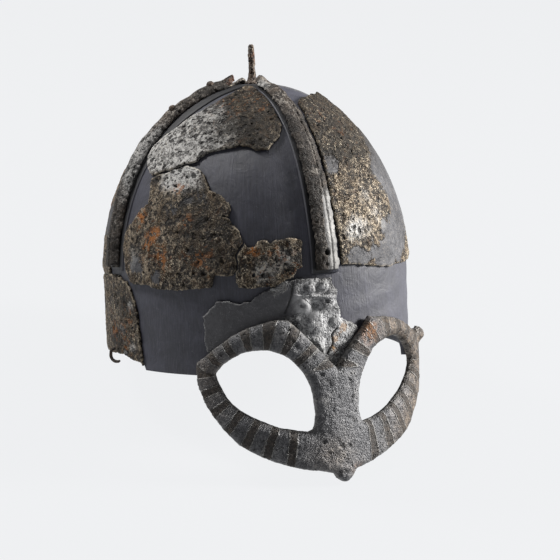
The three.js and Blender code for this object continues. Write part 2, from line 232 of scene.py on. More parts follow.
# a geometry tree whose inputs are a geometry, its sizes and its iron
def openTree(name, sizes):
    tree = bpy.data.node_groups.new(name, "GeometryNodeTree")
    kinds = {"Geometry": "Geometry", **{size: "Float" for size in sizes}, "Iron": "Material"}
    for socket, kind in kinds.items():
        tree.interface.new_socket(socket, in_out="INPUT", socket_type="NodeSocket" + kind)
    tree.interface.new_socket("Geometry", in_out="OUTPUT", socket_type="NodeSocketGeometry")
    entry = tree.nodes.new("NodeGroupInput")
    return {socket.name: Wire(tree, socket) for socket in entry.outputs if socket.name}


# ends it in one real mesh of its iron
def closeTree(given, geometry):
    solid = geometry.node("GeometryNodeRealizeInstances", {}, {"Geometry": geometry})
    painted = solid.node("GeometryNodeSetMaterial", {}, {"Geometry": solid, "Material": given["Iron"]})
    painted.plug(painted.tree.nodes.new("NodeGroupOutput").inputs[0], painted)
    return painted.tree


# Corrosion as relief, one tree for every iron piece; scales are per metre
corrosionScales = {"swell": 38.0, "where": 70.0, "push": 300.0, "layers": 85.0}
corrosionInputs = ("Swell", "Flake", "Grain", "Grain Size", "Pit Depth", "Pit Size", "Seed")
# the same sizes for each kind of piece, but for the seed
reliefs = {
    "plate": (0.0004, 0.0003, 0.0004, 0.003, 0.0012, 0.005),
    "band": (0.0003, 0.00008, 0.0003, 0.0026, 0.0007, 0.005),
    "browSide": (0.0005, 0.0003, 0.0005, 0.004, 0.001, 0.006),
    "browFront": (0.0002, 0.00015, 0.0002, 0.0035, 0.0002, 0.006),
    "guard": (0.0003, 0.0003, 0.00028, 0.003, 0.0007, 0.006),
    "spike": (0.0002, 0.0003, 0.00035, 0.0028, 0.0004, 0.004),
    "hook": (0.0002, 0.0003, 0.0002, 0.002, 0.0002, 0.003),
}


def buildCorrosion():
    given = openTree("corrosion", corrosionInputs)
    w = given["Geometry"]
    place = w.node("GeometryNodeInputPosition")
    seed = given["Seed"]
    swell = (w.noise(place, corrosionScales["swell"], 2.0, 0.5, seed) - 0.5) * 2.0 * given["Swell"]
    rough = w.noise(place, 1.0 / given["Grain Size"], 3.0, 0.65, seed + 7.0)
    grain = (rough - 0.5) * 2.0 * given["Grain"]
    where = w.noise(place, corrosionScales["where"], 1.0, 0.5, seed + 3.0).step(0.42, 0.56)
    pushed = w.pushed(place, corrosionScales["push"])
    pits = (1.0 - w.cells(pushed, 1.0 / given["Pit Size"]).step(0.14, 0.36)) * where
    outer = w.node("GeometryNodeInputNamedAttribute", {"data_type": "FLOAT"}, {"Name": "face"})
    smooth = w.node("GeometryNodeInputNamedAttribute", {"data_type": "FLOAT"}, {"Name": "smooth"})
    calm = 1.0 - smooth * 0.9
    pits = pits * calm
    layers = w.noise(place, corrosionScales["layers"], 3.0, 0.6, seed + 5.0, 0.4) * 7.0
    flakes = w.math("FLOOR", layers) + (layers - w.math("FLOOR", layers)).step(0.0, 0.14)
    height = (swell + (flakes - 4.0) * given["Flake"] + grain) * calm - pits * given["Pit Depth"]
    height = height * outer
    away = w.node("GeometryNodeInputNormal")
    offset = w.node("ShaderNodeVectorMath", {"operation": "SCALE"}, {0: away, "Scale": height})
    moved = w.node("GeometryNodeSetPosition", {}, {"Geometry": given["Geometry"], "Offset": offset})
    marked = w.node("GeometryNodeStoreNamedAttribute", {"data_type": "FLOAT", "domain": "POINT"}, {
        "Geometry": moved, "Name": "pit", "Value": pits,
    })
    return closeTree(given, marked)


corrosion = buildCorrosion()


# runs a tree on a piece and keeps the result as its plain mesh
def applyTree(piece, tree, **sizes):
    modifier = piece.modifiers.new(tree.name, "NODES")
    modifier.node_group = tree
    byName = {item.name: item.identifier for item in tree.interface.items_tree
              if item.item_type == "SOCKET" and item.in_out == "INPUT"}
    for name, value in sizes.items():
        modifier[byName[name]] = value
    bpy.context.view_layer.update()
    shaped = bpy.data.meshes.new_from_object(piece.evaluated_get(bpy.context.evaluated_depsgraph_get()))
    piece.modifiers.remove(modifier)
    old = piece.data
    piece.data = shaped
    bpy.data.meshes.remove(old)
    shaped.name = piece.name


# Slabs: a torn outline on the surface, given a thickness
def domeChart(turn, drop):
    around = np.radians(turn)
    return 0.18 * np.stack([drop * np.sin(around), -drop * np.cos(around)], -1)


def wallChart(turn, drop):
    return np.stack([np.radians(turn) * meanRadius, (1 - drop) * helmet["browHeight"]], -1)


charts = {"dome": domeChart, "wall": wallChart}

# how every slab is woven out of points
weave = {
    "jitter": 0.3,  # shares of the spacing
    "rows": 0.87,
    "clear": 0.55,
    "coarse": 5,  # edge points between two broad tears
    "broadShare": 0.65,
    "fineShare": 0.35,
    "leastThick": 0.0004,
    "edgeFace": 0.35,  # how much of the relief reaches the edge
    "faceReach": 0.002,
    "rimReach": 0.0006,
    "curlReach": 0.004,
}


def insideLoop(points, loop):
    x, y = points[:, 0], points[:, 1]
    inside = np.zeros(len(points), bool)
    x0, y0 = loop[-1]
    for x1, y1 in loop:
        if y0 != y1:
            crosses = (y0 > y) != (y1 > y)
            inside ^= crosses & (x < (x1 - x0) * (y - y0) / (y1 - y0) + x0)
        x0, y0 = x1, y1
    return inside


# inside the first loop and outside the others
def insideOutline(points, loops):
    keep = insideLoop(points, loops[0])
    for hole in loops[1:]:
        keep &= ~insideLoop(points, hole)
    return keep


# an outline at even spacing, with its edge torn a little
def tornLoop(rows, spacing, tear, rng):
    rows = np.array(rows, float)
    closed = np.vstack([rows, rows[:1]])
    places = domePoint(closed[:, 0], closed[:, 1])
    steps = np.linalg.norm(np.diff(places, axis=0), axis=1)
    along = np.concatenate([[0], np.cumsum(steps)])
    count = max(8, int(along[-1] / spacing))
    at = np.linspace(0, along[-1], count, endpoint=False)
    turn, drop = (np.interp(at, along, closed[:, i]) for i in (0, 1))

    def ragged():
        every = weave["coarse"]
        coarse = np.array([rng.uniform(-1, 1) for _ in range(count // every + 1)])
        broad = np.interp(np.arange(count) / every, np.arange(len(coarse) + 1), np.append(coarse, coarse[0]))
        fine = np.array([rng.uniform(-1, 1) for _ in range(count)])
        return weave["broadShare"] * broad + weave["fineShare"] * fine

    reach = np.maximum(np.sin(held(drop) * np.pi / 2), 0.05) * meanRadius
    turn = turn + np.degrees(ragged() * tear / reach)
    drop = drop + ragged() * tear / np.where(drop < 1, dropLength, helmet["browHeight"])
    return turn, drop


# how far each point is from a loop's points, and which of them is nearest
def nearest(points, loop):
    best = np.zeros(len(points))
    which = np.zeros(len(points), int)
    batch = 4000
    for start in range(0, len(points), batch):
        part = slice(start, start + batch)
        gaps = ((points[part, None] - loop[None]) ** 2).sum(-1)
        which[part] = gaps.argmin(1)
        best[part] = np.sqrt(gaps.min(1))
    return best, which


# a piece inside an outline, with a front, a back and walls; holes go through it
def slab(name, size, outline, holes=(), fields=None):
    rng = random.Random(size["seed"])
    spacing = size["spacing"]
    loops = [tornLoop(rows, spacing, size["tear"], rng) for rows in (outline, *holes)]
    chart = charts[size["chart"]]
    edgeTurn, edgeDrop = (np.concatenate([loop[i] for loop in loops]) for i in (0, 1))
    flatLoops = [chart(*loop) for loop in loops]

    rows = []
    drop = edgeDrop.min()
    while drop < edgeDrop.max():
        reach = meanRadius * max(math.sin(min(drop, 1) * math.pi / 2), 0.03)
        step = math.degrees(spacing / reach)
        line = np.arange(edgeTurn.min(), edgeTurn.max(), step)
        most = weave["jitter"]
        jitter = np.array([(rng.uniform(-most, most), rng.uniform(-most, most)) for _ in line])
        length = dropLength if drop < 1 else helmet["browHeight"]
        rows.append(np.stack([line + jitter[:, 0] * step, drop + jitter[:, 1] * spacing / length], -1))
        drop += spacing * weave["rows"] / length
    grid = np.vstack(rows)
    grid = grid[insideOutline(chart(grid[:, 0], grid[:, 1]), flatLoops)]
    edgePoints = domePoint(edgeTurn, edgeDrop)
    gap, _ = nearest(domePoint(grid[:, 0], grid[:, 1]), edgePoints)
    clear = gap > spacing * weave["clear"]
    grid, gap = grid[clear], gap[clear]

    turn = np.concatenate([edgeTurn, grid[:, 0]])
    drop = np.concatenate([edgeDrop, grid[:, 1]])
    gap = np.concatenate([np.zeros(len(edgeTurn)), gap])
    flat = chart(turn, drop)
    edges, start = [], 0
    for loop in loops:
        count = len(loop[0])
        edges += [(start + i, start + (i + 1) % count) for i in range(count)]
        start += count
    _, _, faces, origins, _, _ = delaunay_2d_cdt([Vector(p) for p in flat], edges, [], 0, 1e-9)
    source = np.array([origin[0] if origin else -1 for origin in origins])
    faces = np.array([face for face in faces if len(face) == 3])
    faces = source[faces]
    faces = faces[(faces >= 0).all(1)]
    faces = faces[insideOutline(flat[faces].mean(1), flatLoops)]

    # rounded or sharp at the edge, then the full height
    rise = held(gap / size["shoulder"])
    rounded = np.sqrt(1 - (1 - rise) ** 2)
    height = size["low"] + size["thick"] * (size["edge"] + (1 - size["edge"]) * rounded)
    if "curl" in size:
        height = height + size["curl"] * np.exp(-gap / weave["curlReach"])
    if "shape" in size:
        height = height + size["shape"](turn, drop, gap)
    count = len(turn)
    top = onDome(turn, drop, height)
    bottom = onDome(turn, drop, np.minimum(size["low"], height - weave["leastThick"]))
    lower = faces[:, ::-1] + count
    sides = {(a, b) for face in faces.tolist() for a, b in zip(face, face[1:] + face[:1])}
    walls = [(b, a, a + count, b + count) for a, b in sorted(sides) if (b, a) not in sides]
    face = np.clip(gap / weave["faceReach"], weave["edgeFace"], 1)
    values = {
        "face": np.concatenate([face, np.zeros(count)]),
        "edgeGap": np.concatenate([gap, np.zeros(count)]),
        "rim": np.concatenate([bell(gap, 0, weave["rimReach"]), np.zeros(count)]),
        "strokes": np.tile(strokes(turn, drop), (2, 1)),
    }
    for key, paint in (fields or {}).items():
        values[key] = np.tile(paint(turn, drop), 2)
    return makePiece(name, np.vstack([top, bottom]), faces.tolist() + lower.tolist() + walls, values)


# squared distances from a place on the surface
def awayFrom(places, turn, drop):
    return ((places - domePoint(np.array(float(turn)), np.array(float(drop)))) ** 2).sum(-1)


# soft round patches of a tone, each a turn, a drop, a reach in metres and a strength
def patches(*spots):
    def paint(turn, drop):
        places = domePoint(turn, drop)
        total = np.zeros(len(places))
        for spotTurn, spotDrop, reach, strength in spots:
            total += strength * np.exp(-awayFrom(places, spotTurn, spotDrop) / (reach * reach))
        return held(total)
    return paint


# its material and the CAD nodes that it stands for
def finishPiece(piece, material, slot, *nodes):
    piece.data.materials.clear()
    piece.data.materials.append(material)
    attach(piece, "root")
    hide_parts(*nodes)
    return piece


# a piece of iron: its relief, then its finish
def finishIron(piece, iron, relief, seed, slot, *nodes):
    applyTree(piece, corrosion, **dict(zip(corrosionInputs, (*reliefs[relief], seed))), Iron=iron)
    return finishPiece(piece, iron, slot, *nodes)


# Finishes
def newMaterial(name):
    material = bpy.data.materials.new(name)
    material.use_nodes = True
    tree = material.node_tree
    tree.nodes.clear()
    return material, Wire(tree, None)


def shade(w, colour, roughness, bump, metallic=0.0, specular=0.5):
    surface = w.node("ShaderNodeBsdfPrincipled", {}, {
        "Base Color": colour, "Roughness": roughness, "Metallic": metallic, "Normal": bump,
        "Specular IOR Level": specular,
    })
    w.node("ShaderNodeOutputMaterial", {}, {"Surface": surface})


def bump(w, height, strength, distance):
    return w.node("ShaderNodeBump", {}, {"Strength": strength, "Distance": distance, "Height": height})


# In the finishes, step bounds and shares are tuned against the photograph. Scales are per metre.
fillerLook = {
    "dark": (0.020, 0.0205, 0.0275),
    "light": (0.046, 0.0467, 0.0635),
    "roughness": 0.62,
    "strokeBump": 0.35,
    "brush": (95.0, 95.0, 7.0),
    "fibre": (260.0, 260.0, 14.0),
    "clouds": 30.0,
    "folds": 75.0,
    "dust": 900.0,
    "dustColour": (0.17, 0.165, 0.18),
    "shadow": (0.004, 0.004, 0.005),
    # edge: the colour of the painted highlight along the strips' raised edges
    "edge": (0.08, 0.079, 0.085),
}


def makeFiller():
    material, w = newMaterial("brushedFiller")
    brush = w.field("strokes", "Vector")
    long = w.node("ShaderNodeVectorMath", {"operation": "MULTIPLY"}, {0: brush, 1: fillerLook["brush"]})
    fine = w.node("ShaderNodeVectorMath", {"operation": "MULTIPLY"}, {0: brush, 1: fillerLook["fibre"]})
    place = w.node("ShaderNodeTexCoord", {}, {}, "Object")
    streaks = w.noise(long, 1.0, 3.0, 0.6, 2.0, 0.3)
    fibres = w.noise(fine, 1.0, 2.0, 0.6, 5.0, 0.2)
    clouds = w.noise(place, fillerLook["clouds"], 3.0, 0.55, 1.0)
    dust = w.noise(place, fillerLook["dust"], 2.0, 0.6, 4.0)
    folds = w.noise(place, fillerLook["folds"], 3.0, 0.6, 6.0, 1.2)
    tone = (streaks * 0.28 + clouds * 0.34 + folds * 0.26 + fibres * 0.12).step(0.37, 0.65)
    colour = w.colours(tone, fillerLook["dark"], fillerLook["light"])
    colour = w.colours(dust.step(0.62, 0.78) * 0.35, colour, fillerLook["dustColour"])
    # painted light on the strips: a highlight line along their raised edges, and painted shadow, near black,
    # beside their bands
    edge = w.field("worn").step(0.55, 0.95) * (0.2 + clouds * 0.8)
    colour = w.colours(w.field("shade") * 0.95, colour, fillerLook["shadow"])
    colour = w.colours((edge * 0.6).clamped(), colour, fillerLook["edge"])
    rough = fillerLook["roughness"] + (clouds - 0.5) * 0.3
    relief = streaks * 0.4 + fibres * 0.25 + clouds * 0.5 + folds * 1.1
    shade(w, colour, rough, bump(w, relief, fillerLook["strokeBump"], 0.0018))
    return material


ironScales = {
    "broad": 50.0, "mottle": 300.0, "grit": 950.0, "fray": 95.0, "hue": 120.0, "glint": 1300.0,
    "gather": 42.0, "rust": 230.0, "push": 260.0, "smallPits": 330.0, "largePits": 150.0, "clusters": 190.0,
}


# corroded iron: speckled, pitted, rusty here and there. The fields pale, smooth and rust paint zones.
def makeIron(name, look):
    material, w = newMaterial(name)
    seed, scales = look["seed"], ironScales
    place = w.node("ShaderNodeTexCoord", {}, {}, "Object")
    warped = w.pushed(place, scales["push"])
    broad = w.noise(place, scales["broad"], 3.0, 0.6, seed)
    mottle = w.noise(place, scales["mottle"], 3.0, 0.7, seed + 2.0, 0.5)
    grit = w.noise(place, scales["grit"], 2.0, 0.75, seed + 4.0)
    fray = (w.noise(place, scales["fray"], 4.0, 0.65, seed + 15.0, 0.5) - 0.5) * 1.3
    pale = (w.field("pale") * 1.2 + fray * 0.7).step(0.2, 0.75) * w.field("pale").step(0.02, 0.15)
    smooth = (w.field("smooth") + fray * 1.3).step(0.40, 0.58) * w.field("smooth").step(0.05, 0.3)
    dark = (w.field("dark") + fray * 0.4).clamped()
    rust = w.field("rust")
    pit = w.field("pit")
    calm = (1.0 - smooth * 0.8) * (1.0 - pale * 0.35)
    tone = 0.52 + ((broad - 0.5) * 1.4 + (mottle - 0.5) * 2.6 + (grit - 0.5) * 1.8) * calm - dark * 0.24
    colour = w.node("ShaderNodeValToRGB", {"stops": look["stops"]}, {"Fac": tone.clamped()})
    hue = w.noise(place, scales["hue"], 3.0, 0.6, seed + 6.0).step(0.45, 0.62)
    soil = w.colours(grit.step(0.46, 0.66) * (1.0 - dark * 0.6), look["earth"], look["sand"])
    colour = w.colours(hue * 0.6 * calm, colour, soil)
    worn = w.colours((broad * 0.5 + mottle * 0.5).step(0.38, 0.66), look["smoothDark"], look["smoothColour"])
    colour = w.colours(smooth * 0.85, colour, worn)
    paleTone = (tone * 1.35 - 0.10).clamped()
    paleColour = w.node("ShaderNodeValToRGB", {"stops": look["paleStops"]}, {"Fac": paleTone})
    colour = w.colours((pale * 1.1 + (grit - 0.5) * pale).clamped(), colour, paleColour)
    glint = w.noise(place, scales["glint"], 1.0, 0.5, seed + 18.0) + (mottle - 0.5) * 0.5 - dark * 0.03
    colour = w.colours(dark * 0.58, colour, look["shadow"])
    rim = w.field("rim") * mottle.step(0.40, 0.58) * (1.0 - dark * 0.7)
    colour = w.colours(rim * 0.5, colour, look["glint"])
    gather = w.noise(place, scales["gather"], 2.0, 0.6, seed + 20.0).step(0.46, 0.60)
    gather = gather * 0.55 + w.field("gold") + 0.15
    sparkle = glint.step(0.60, 0.68) * calm * gather.clamped() * (0.95 - dark * 0.3)
    colour = w.colours(sparkle, colour, look["glint"])
    rusty = w.noise(place, scales["rust"], 4.0, 0.7, seed + 9.0, 0.6) + rust * 0.12
    colour = w.colours(rusty.step(0.57, 0.64) * (0.08 + rust * 0.87) * calm, colour, look["rustColour"])
    small = w.cells(warped, scales["smallPits"]).step(0.16, 0.34)
    large = w.cells(warped, scales["largePits"]).step(0.22, 0.33)
    clusters = w.noise(place, scales["clusters"], 2.0, 0.6, seed + 12.0)
    dense = (broad * 0.6 + clusters * 0.4 + pale * 0.05).step(0.48, 0.56)
    holes = ((1.0 - small) * dense + (1.0 - large) * (0.6 + pale * 0.4)).clamped() * (1.0 - smooth * 0.85)
    holes = holes * look["pitting"]
    colour = w.colours((pit * 0.6 + holes * 0.85 + w.field("hole")).clamped(), colour, look["pitColour"])
    rough = 0.66 + (mottle - 0.5) * 0.5 - smooth * 0.06
    metal = 0.12 + (grit - 0.5) * 0.3
    relief = mottle * 0.9 * calm + grit * 0.5 * calm - holes * 1.0 + broad * 0.2
    shade(w, colour, rough, bump(w, relief, 1.0, 0.0024), metal, look["specular"])
    return material


ironLooks = {
    "plateIron": {
        "seed": 1.0,
        "stops": [(0.25, (0.012, 0.010, 0.009)), (0.45, (0.036, 0.030, 0.024)),
                  (0.60, (0.087, 0.070, 0.052)), (0.78, (0.235, 0.190, 0.138))],
        "paleStops": [(0.25, (0.04, 0.038, 0.036)), (0.46, (0.18, 0.175, 0.167)),
                      (0.76, (0.42, 0.412, 0.395))],
        "earth": (0.040, 0.025, 0.013),
        "sand": (0.21, 0.155, 0.095),
        "glint": (0.52, 0.45, 0.34),
        "smoothColour": (0.095, 0.098, 0.108),
        "smoothDark": (0.030, 0.031, 0.036),
        "rustColour": (0.25, 0.090, 0.020),
        "shadow": (0.020, 0.016, 0.011),
        "pitting": 1.0,
        "specular": 0.2,
        "pitColour": (0.006, 0.005, 0.005),
    },
    "bandIron": {
        "seed": 11.0,
        "stops": [(0.25, (0.014, 0.011, 0.009)), (0.45, (0.044, 0.036, 0.030)),
                  (0.60, (0.098, 0.083, 0.071)), (0.80, (0.26, 0.235, 0.205))],
        "paleStops": [(0.25, (0.05, 0.048, 0.046)), (0.50, (0.16, 0.157, 0.15)), (0.78, (0.36, 0.35, 0.335))],
        "earth": (0.048, 0.034, 0.024),
        "sand": (0.17, 0.135, 0.10),
        "glint": (0.30, 0.28, 0.25),
        "smoothColour": (0.085, 0.084, 0.086),
        "smoothDark": (0.050, 0.049, 0.050),
        "rustColour": (0.090, 0.034, 0.014),
        "shadow": (0.020, 0.017, 0.014),
        "pitting": 0.8,
        "specular": 0.3,
        "pitColour": (0.006, 0.006, 0.005),
    },
    "browIron": {
        "seed": 21.0,
        "stops": [(0.25, (0.022, 0.021, 0.022)), (0.45, (0.058, 0.057, 0.060)),
                  (0.62, (0.12, 0.12, 0.122)), (0.85, (0.27, 0.27, 0.268))],
        "paleStops": [(0.25, (0.06, 0.06, 0.062)), (0.50, (0.17, 0.17, 0.175)), (0.80, (0.36, 0.36, 0.36))],
        "earth": (0.048, 0.045, 0.043),
        "sand": (0.14, 0.13, 0.12),
        "glint": (0.36, 0.36, 0.35),
        "smoothColour": (0.060, 0.059, 0.065),
        "smoothDark": (0.040, 0.039, 0.043),
        "rustColour": (0.24, 0.13, 0.045),
        "shadow": (0.02, 0.02, 0.02),
        "pitting": 0.2,
        "specular": 0.5,
        "pitColour": (0.008, 0.008, 0.008),
    },
    "fittingIron": {
        "seed": 31.0,
        "stops": [(0.25, (0.008, 0.006, 0.005)), (0.45, (0.030, 0.022, 0.017)),
                  (0.65, (0.075, 0.053, 0.039)), (0.85, (0.20, 0.165, 0.13))],
        "paleStops": [(0.3, (0.05, 0.045, 0.04)), (0.8, (0.3, 0.28, 0.25))],
        "earth": (0.050, 0.027, 0.016),
        "sand": (0.16, 0.11, 0.075),
        "glint": (0.26, 0.22, 0.18),
        "smoothColour": (0.06, 0.055, 0.05),
        "smoothDark": (0.03, 0.027, 0.025),
        "rustColour": (0.120, 0.040, 0.016),
        "shadow": (0.012, 0.009, 0.007),
        "pitting": 0.8,
        "specular": 0.4,
        "pitColour": (0.005, 0.004, 0.004),
    },
}

filler = makeFiller()
irons = {name: makeIron(name, look) for name, look in ironLooks.items()}


guardLook = {
    "stripe": (0.020, 0.015, 0.011),
    "stripeLight": (0.062, 0.045, 0.030),
    # lip: the light border of each stripe, and also the colour of the painted highlight along the guard's
    # edges
    "lip": (0.26, 0.25, 0.235),
    "stops": [(0.22, (0.020, 0.020, 0.021)), (0.42, (0.060, 0.060, 0.064)),
              (0.60, (0.115, 0.115, 0.120)), (0.82, (0.28, 0.275, 0.27))],
    "brown": (0.040, 0.027, 0.018),
    "tan": (0.15, 0.115, 0.082),
    "rustColour": (0.18, 0.078, 0.024),
    "pitColour": (0.008, 0.008, 0.008),
    "scales": {"broad": 60.0, "mottle": 380.0, "grit": 1100.0, "pits": 360.0},
}


# the eye guard: silver-grey corroded iron with darker stripes let in across each ring
def makeGuardIron():
    material, w = newMaterial("guardIron")
    place = w.node("ShaderNodeTexCoord", {}, {}, "Object")
    scales = guardLook["scales"]
    broad = w.noise(place, scales["broad"], 3.0, 0.6, 41.0)
    mottle = w.noise(place, scales["mottle"], 3.0, 0.7, 43.0, 0.4)
    grit = w.noise(place, scales["grit"], 2.0, 0.7, 45.0)
    stripe = w.field("stripe")
    plain = w.field("plain")
    along = stripe + (mottle - 0.5) * 0.36
    inlay = along.step(0.66, 0.76)
    lip = along.step(0.48, 0.64) * (1.0 - inlay)
    grain = ((mottle - 0.5) * 0.9 + (grit - 0.5) * 0.8) * (1.0 - plain * 0.15)
    tone = 0.49 + (broad - 0.5) * 0.7 + grain + plain * 0.05
    colour = w.node("ShaderNodeValToRGB", {"stops": guardLook["stops"]}, {"Fac": tone.clamped()})
    brown = (w.field("rust") * (0.5 + mottle) + (broad - 0.5) * 0.5).clamped()
    soil = w.colours(mottle.step(0.4, 0.65), guardLook["brown"], guardLook["tan"])
    colour = w.colours(brown * 0.85, colour, soil)
    inlayColour = w.colours(mottle.step(0.45, 0.7), guardLook["stripe"], guardLook["stripeLight"])
    colour = w.colours(inlay * 0.80, colour, inlayColour)
    colour = w.colours(lip * 0.55, colour, guardLook["lip"])
    # painted highlight: the edges and walls of the guard and its eye holes made lighter in the lip colour, as
    # if lit
    rim = (1.0 - w.field("edgeGap").step(0.0002, 0.0013)) * mottle.step(0.35, 0.6)
    colour = w.colours(rim * 0.4, colour, guardLook["lip"])
    hot = w.field("hot") * mottle.step(0.38, 0.58)
    colour = w.colours((hot * 0.8).clamped(), colour, guardLook["rustColour"])
    holes = (1.0 - w.cells(place, scales["pits"]).step(0.12, 0.30)) * broad.step(0.47, 0.58)
    pit = w.field("pit")
    colour = w.colours((holes * 0.8 + pit * 0.5).clamped(), colour, guardLook["pitColour"])
    rough = 0.52 + (mottle - 0.5) * 0.5 + inlay * 0.12
    relief = mottle * 0.6 + grit * 0.5 - holes * 0.8 - inlay * 0.9 + lip * 0.5
    shade(w, colour, rough, bump(w, relief, 1.0, 0.0018), 0.35 + (grit - 0.5) * 0.3)
    return material


guardIron = makeGuardIron()
print("finishes made")


# Camera, fitted to the photograph in the helmet's own frame
view = {
    "azimuth": -22.96,
    "elevation": 6.25,
    "roll": -2.29,
    "distance": 1.5,
    "focalPixels": 2203.5,
    "picture": 560,
    "middle": (255.3, 271.1),  # where the helmet's brow centre falls in the picture, in pixels
    "sensor": 36,
}


def makeCamera():
    turn, lift, roll = (math.radians(view[key]) for key in ("azimuth", "elevation", "roll"))
    back = Vector((math.sin(turn) * math.cos(lift), -math.cos(turn) * math.cos(lift), math.sin(lift)))
    right = Vector((math.cos(turn), math.sin(turn), 0))
    up = back.cross(right)
    across = math.cos(roll) * right + math.sin(roll) * up
    upright = -math.sin(roll) * right + math.cos(roll) * up
    offX, offY = ((view["picture"] / 2 - pixel) / view["focalPixels"] for pixel in view["middle"])
    forward = (-back + across * offX - upright * offY).normalized()
    side = forward.cross(upright).normalized()
    lens = bpy.data.cameras.new("camera")
    lens.sensor_width = view["sensor"]
    lens.lens = view["focalPixels"] * view["sensor"] / view["picture"]
    lens.clip_end = 60
    camera = linked("camera", lens)
    turned = Matrix((side, side.cross(forward), -forward)).transposed().to_4x4()
    camera.matrix_world = toRest @ Matrix.Translation(back * view["distance"]) @ turned
    bpy.context.scene.camera = camera


makeCamera()


# Floor and light
studio = {
    "floor": (0.012, 0.012, 0.012),
    "floorReach": 20,
    "glow": (0.84, 0.85, 0.865),
    "world": (0.93, 0.95, 1.0),
    "worldStrength": 0.12,
    "target": (0, 0, 0.12),
    # name: where it stands, its size, its power and its colour
    "lights": {
        "keyRight": ((1.2, -0.34, 0.62), 0.35, 56.0, (1.0, 0.985, 0.965)),
        "rimLeft": ((-0.55, 0.60, 0.95), 0.25, 15.0, (1.0, 0.99, 0.98)),
        "topSoft": ((0.1, 0.1, 1.3), 0.6, 4.0, (1.0, 1.0, 1.0)),
    },
}


def makeStudio():
    mesh = bpy.data.meshes.new("floor")
    far = studio["floorReach"]
    mesh.from_pydata([(-far, -far, 0), (far, -far, 0), (far, far, 0), (-far, far, 0)], [], [(0, 1, 2, 3)])
    floor = linked("floor", mesh)
    material, w = newMaterial("paleFloor")
    surface = w.node("ShaderNodeBsdfPrincipled", {}, {
        "Base Color": (*studio["floor"], 1), "Roughness": 0.9, "Specular IOR Level": 0.0,
        "Emission Color": (*studio["glow"], 1), "Emission Strength": 1.0,
    })
    w.node("ShaderNodeOutputMaterial", {}, {"Surface": surface})
    mesh.materials.append(material)

    world = bpy.data.worlds.new("studioAir")
    world.use_nodes = True
    background = world.node_tree.nodes["Background"]
    background.inputs["Color"].default_value = (*studio["world"], 1)
    background.inputs["Strength"].default_value = studio["worldStrength"]
    bpy.context.scene.world = world
    bpy.context.scene.view_settings.view_transform = "Standard"

    for name, (place, size, power, colour) in studio["lights"].items():
        lamp = bpy.data.lights.new(name, "AREA")
        lamp.shape = "DISK"
        lamp.size = size
        lamp.energy = power
        lamp.color = colour
        stand = linked(name, lamp)
        stand.location = place
        aim = Vector(studio["target"]) - Vector(place)
        stand.rotation_euler = aim.to_track_quat("-Z", "Y").to_euler()


makeStudio()
print("camera, floor and lights made")


# Filler shell
shell = {
    "wall": 0.003,
    "columns": 420,
    "rows": 112,
    "wobble": 0.00025,
}

guardSize = {
    "top": 0.019,  # below the brow line
    "depth": 0.099,
    "standoff": 0.0026,
    "lean": 0.004,
    "most": 1.2,  # where the lean ends, as a share of the depth
}


# the notch over each eye: its turn and the height of its upper edge below the brow line
eyeNotch = np.array([
    (3.9, -0.0546), (4.4, -0.0500), (6.5, -0.0430), (10.5, -0.0370), (15.0, -0.0335), (21.0, -0.0320),
    (27.0, -0.0320), (33.0, -0.0335), (38.0, -0.0370), (42.5, -0.0430), (45.3, -0.0490), (46.2, -0.0546),
])
# the shell is broken away below the side fragment: turn and drop
sideBreak = np.array([
    (-133, 2.2), (-131, 2.03), (-126, 1.95), (-119, 1.87), (-112, 1.83), (-104, 1.87), (-95, 1.86),
    (-84, 1.87), (-76, 1.92), (-73.2, 1.99), (-72.5, 2.2),
])


def makeShell():
    turns = np.linspace(-180, 180, shell["columns"], endpoint=False)
    notch = np.interp(np.abs(turns), eyeNotch[:, 0], eyeNotch[:, 1], left=-1, right=-1)
    broken = np.interp(turns, sideBreak[:, 0], sideBreak[:, 1], left=9, right=9)
    edge = np.minimum(np.minimum(1 - notch / helmet["browHeight"], broken), helmet["rimDrop"])
    shares = np.linspace(0, 1, shell["rows"] + 1)[1:]
    drops = shares[:, None] * edge[None]
    grid = np.broadcast_to(turns, drops.shape)
    wobble = shell["wobble"] * np.sin(np.radians(grid) * 7 + drops * 9) * np.sin(drops * 12)
    layers, fieldRows = [], []
    for above in (0.0, -shell["wall"]):
        apex = onDome(np.zeros(1), np.zeros(1), np.array([above]))
        layers.append(np.vstack([apex, onDome(grid, drops, above + wobble).reshape(-1, 3)]))
        fieldRows.append(np.vstack([[(0, 0, 0)], strokes(grid, drops).reshape(-1, 3)]))
    columns, rows = shell["columns"], shell["rows"]
    count = 1 + columns * rows
    faces = []
    for i in range(columns):
        n = (i + 1) % columns
        faces.append((0, 1 + i, 1 + n))
        faces.append((count, count + 1 + n, count + 1 + i))
        for j in range(rows - 1):
            a, b = 1 + j * columns + i, 1 + j * columns + n
            c, d = b + columns, a + columns
            faces.append((a, d, c, b))
            faces.append((count + b, count + c, count + d, count + a))
        last = 1 + (rows - 1) * columns
        faces.append((last + n, last + i, count + last + i, count + last + n))
    piece = makePiece("fillerShell", np.vstack(layers), faces, {"strokes": np.vstack(fieldRows)})
    return finishPiece(piece, filler, "filler", "filler_shell")


# Ridge bands and the strips of filler under them
bandSize = {
    "halfTop": 0.0054,
    "halfBrow": 0.0081,
    "crest": 0.0041,
    "thick": 0.0018,
    "stripRise": 0.0013,
    "stripEnd": 0.955,
    "stripFoot": -0.001,
    "stripSpacing": 0.003,
    "across": 34,
    "spacing": 0.0007,
    "standOff": 0.0012,
    "seam": 0.0001,  # between a strip and the foot of its band
    "arch": (2.2, 0.85),  # the powers that round its section
    "crease": (0.34, 0.1, 0.0007),  # its place across, its width and its depth
    "edgeFace": 0.4,  # how much of the relief reaches its edge
    "tear": 0.0007,
    "topShare": 0.45,  # its width at the torn top end, and the drop over which it grows
    "topDrop": 0.06,
    "holeShift": 0.0009,
    "holeRadius": 0.0017,
    "holeEdge": 0.00012,
    "holeDepth": 0.0022,
}
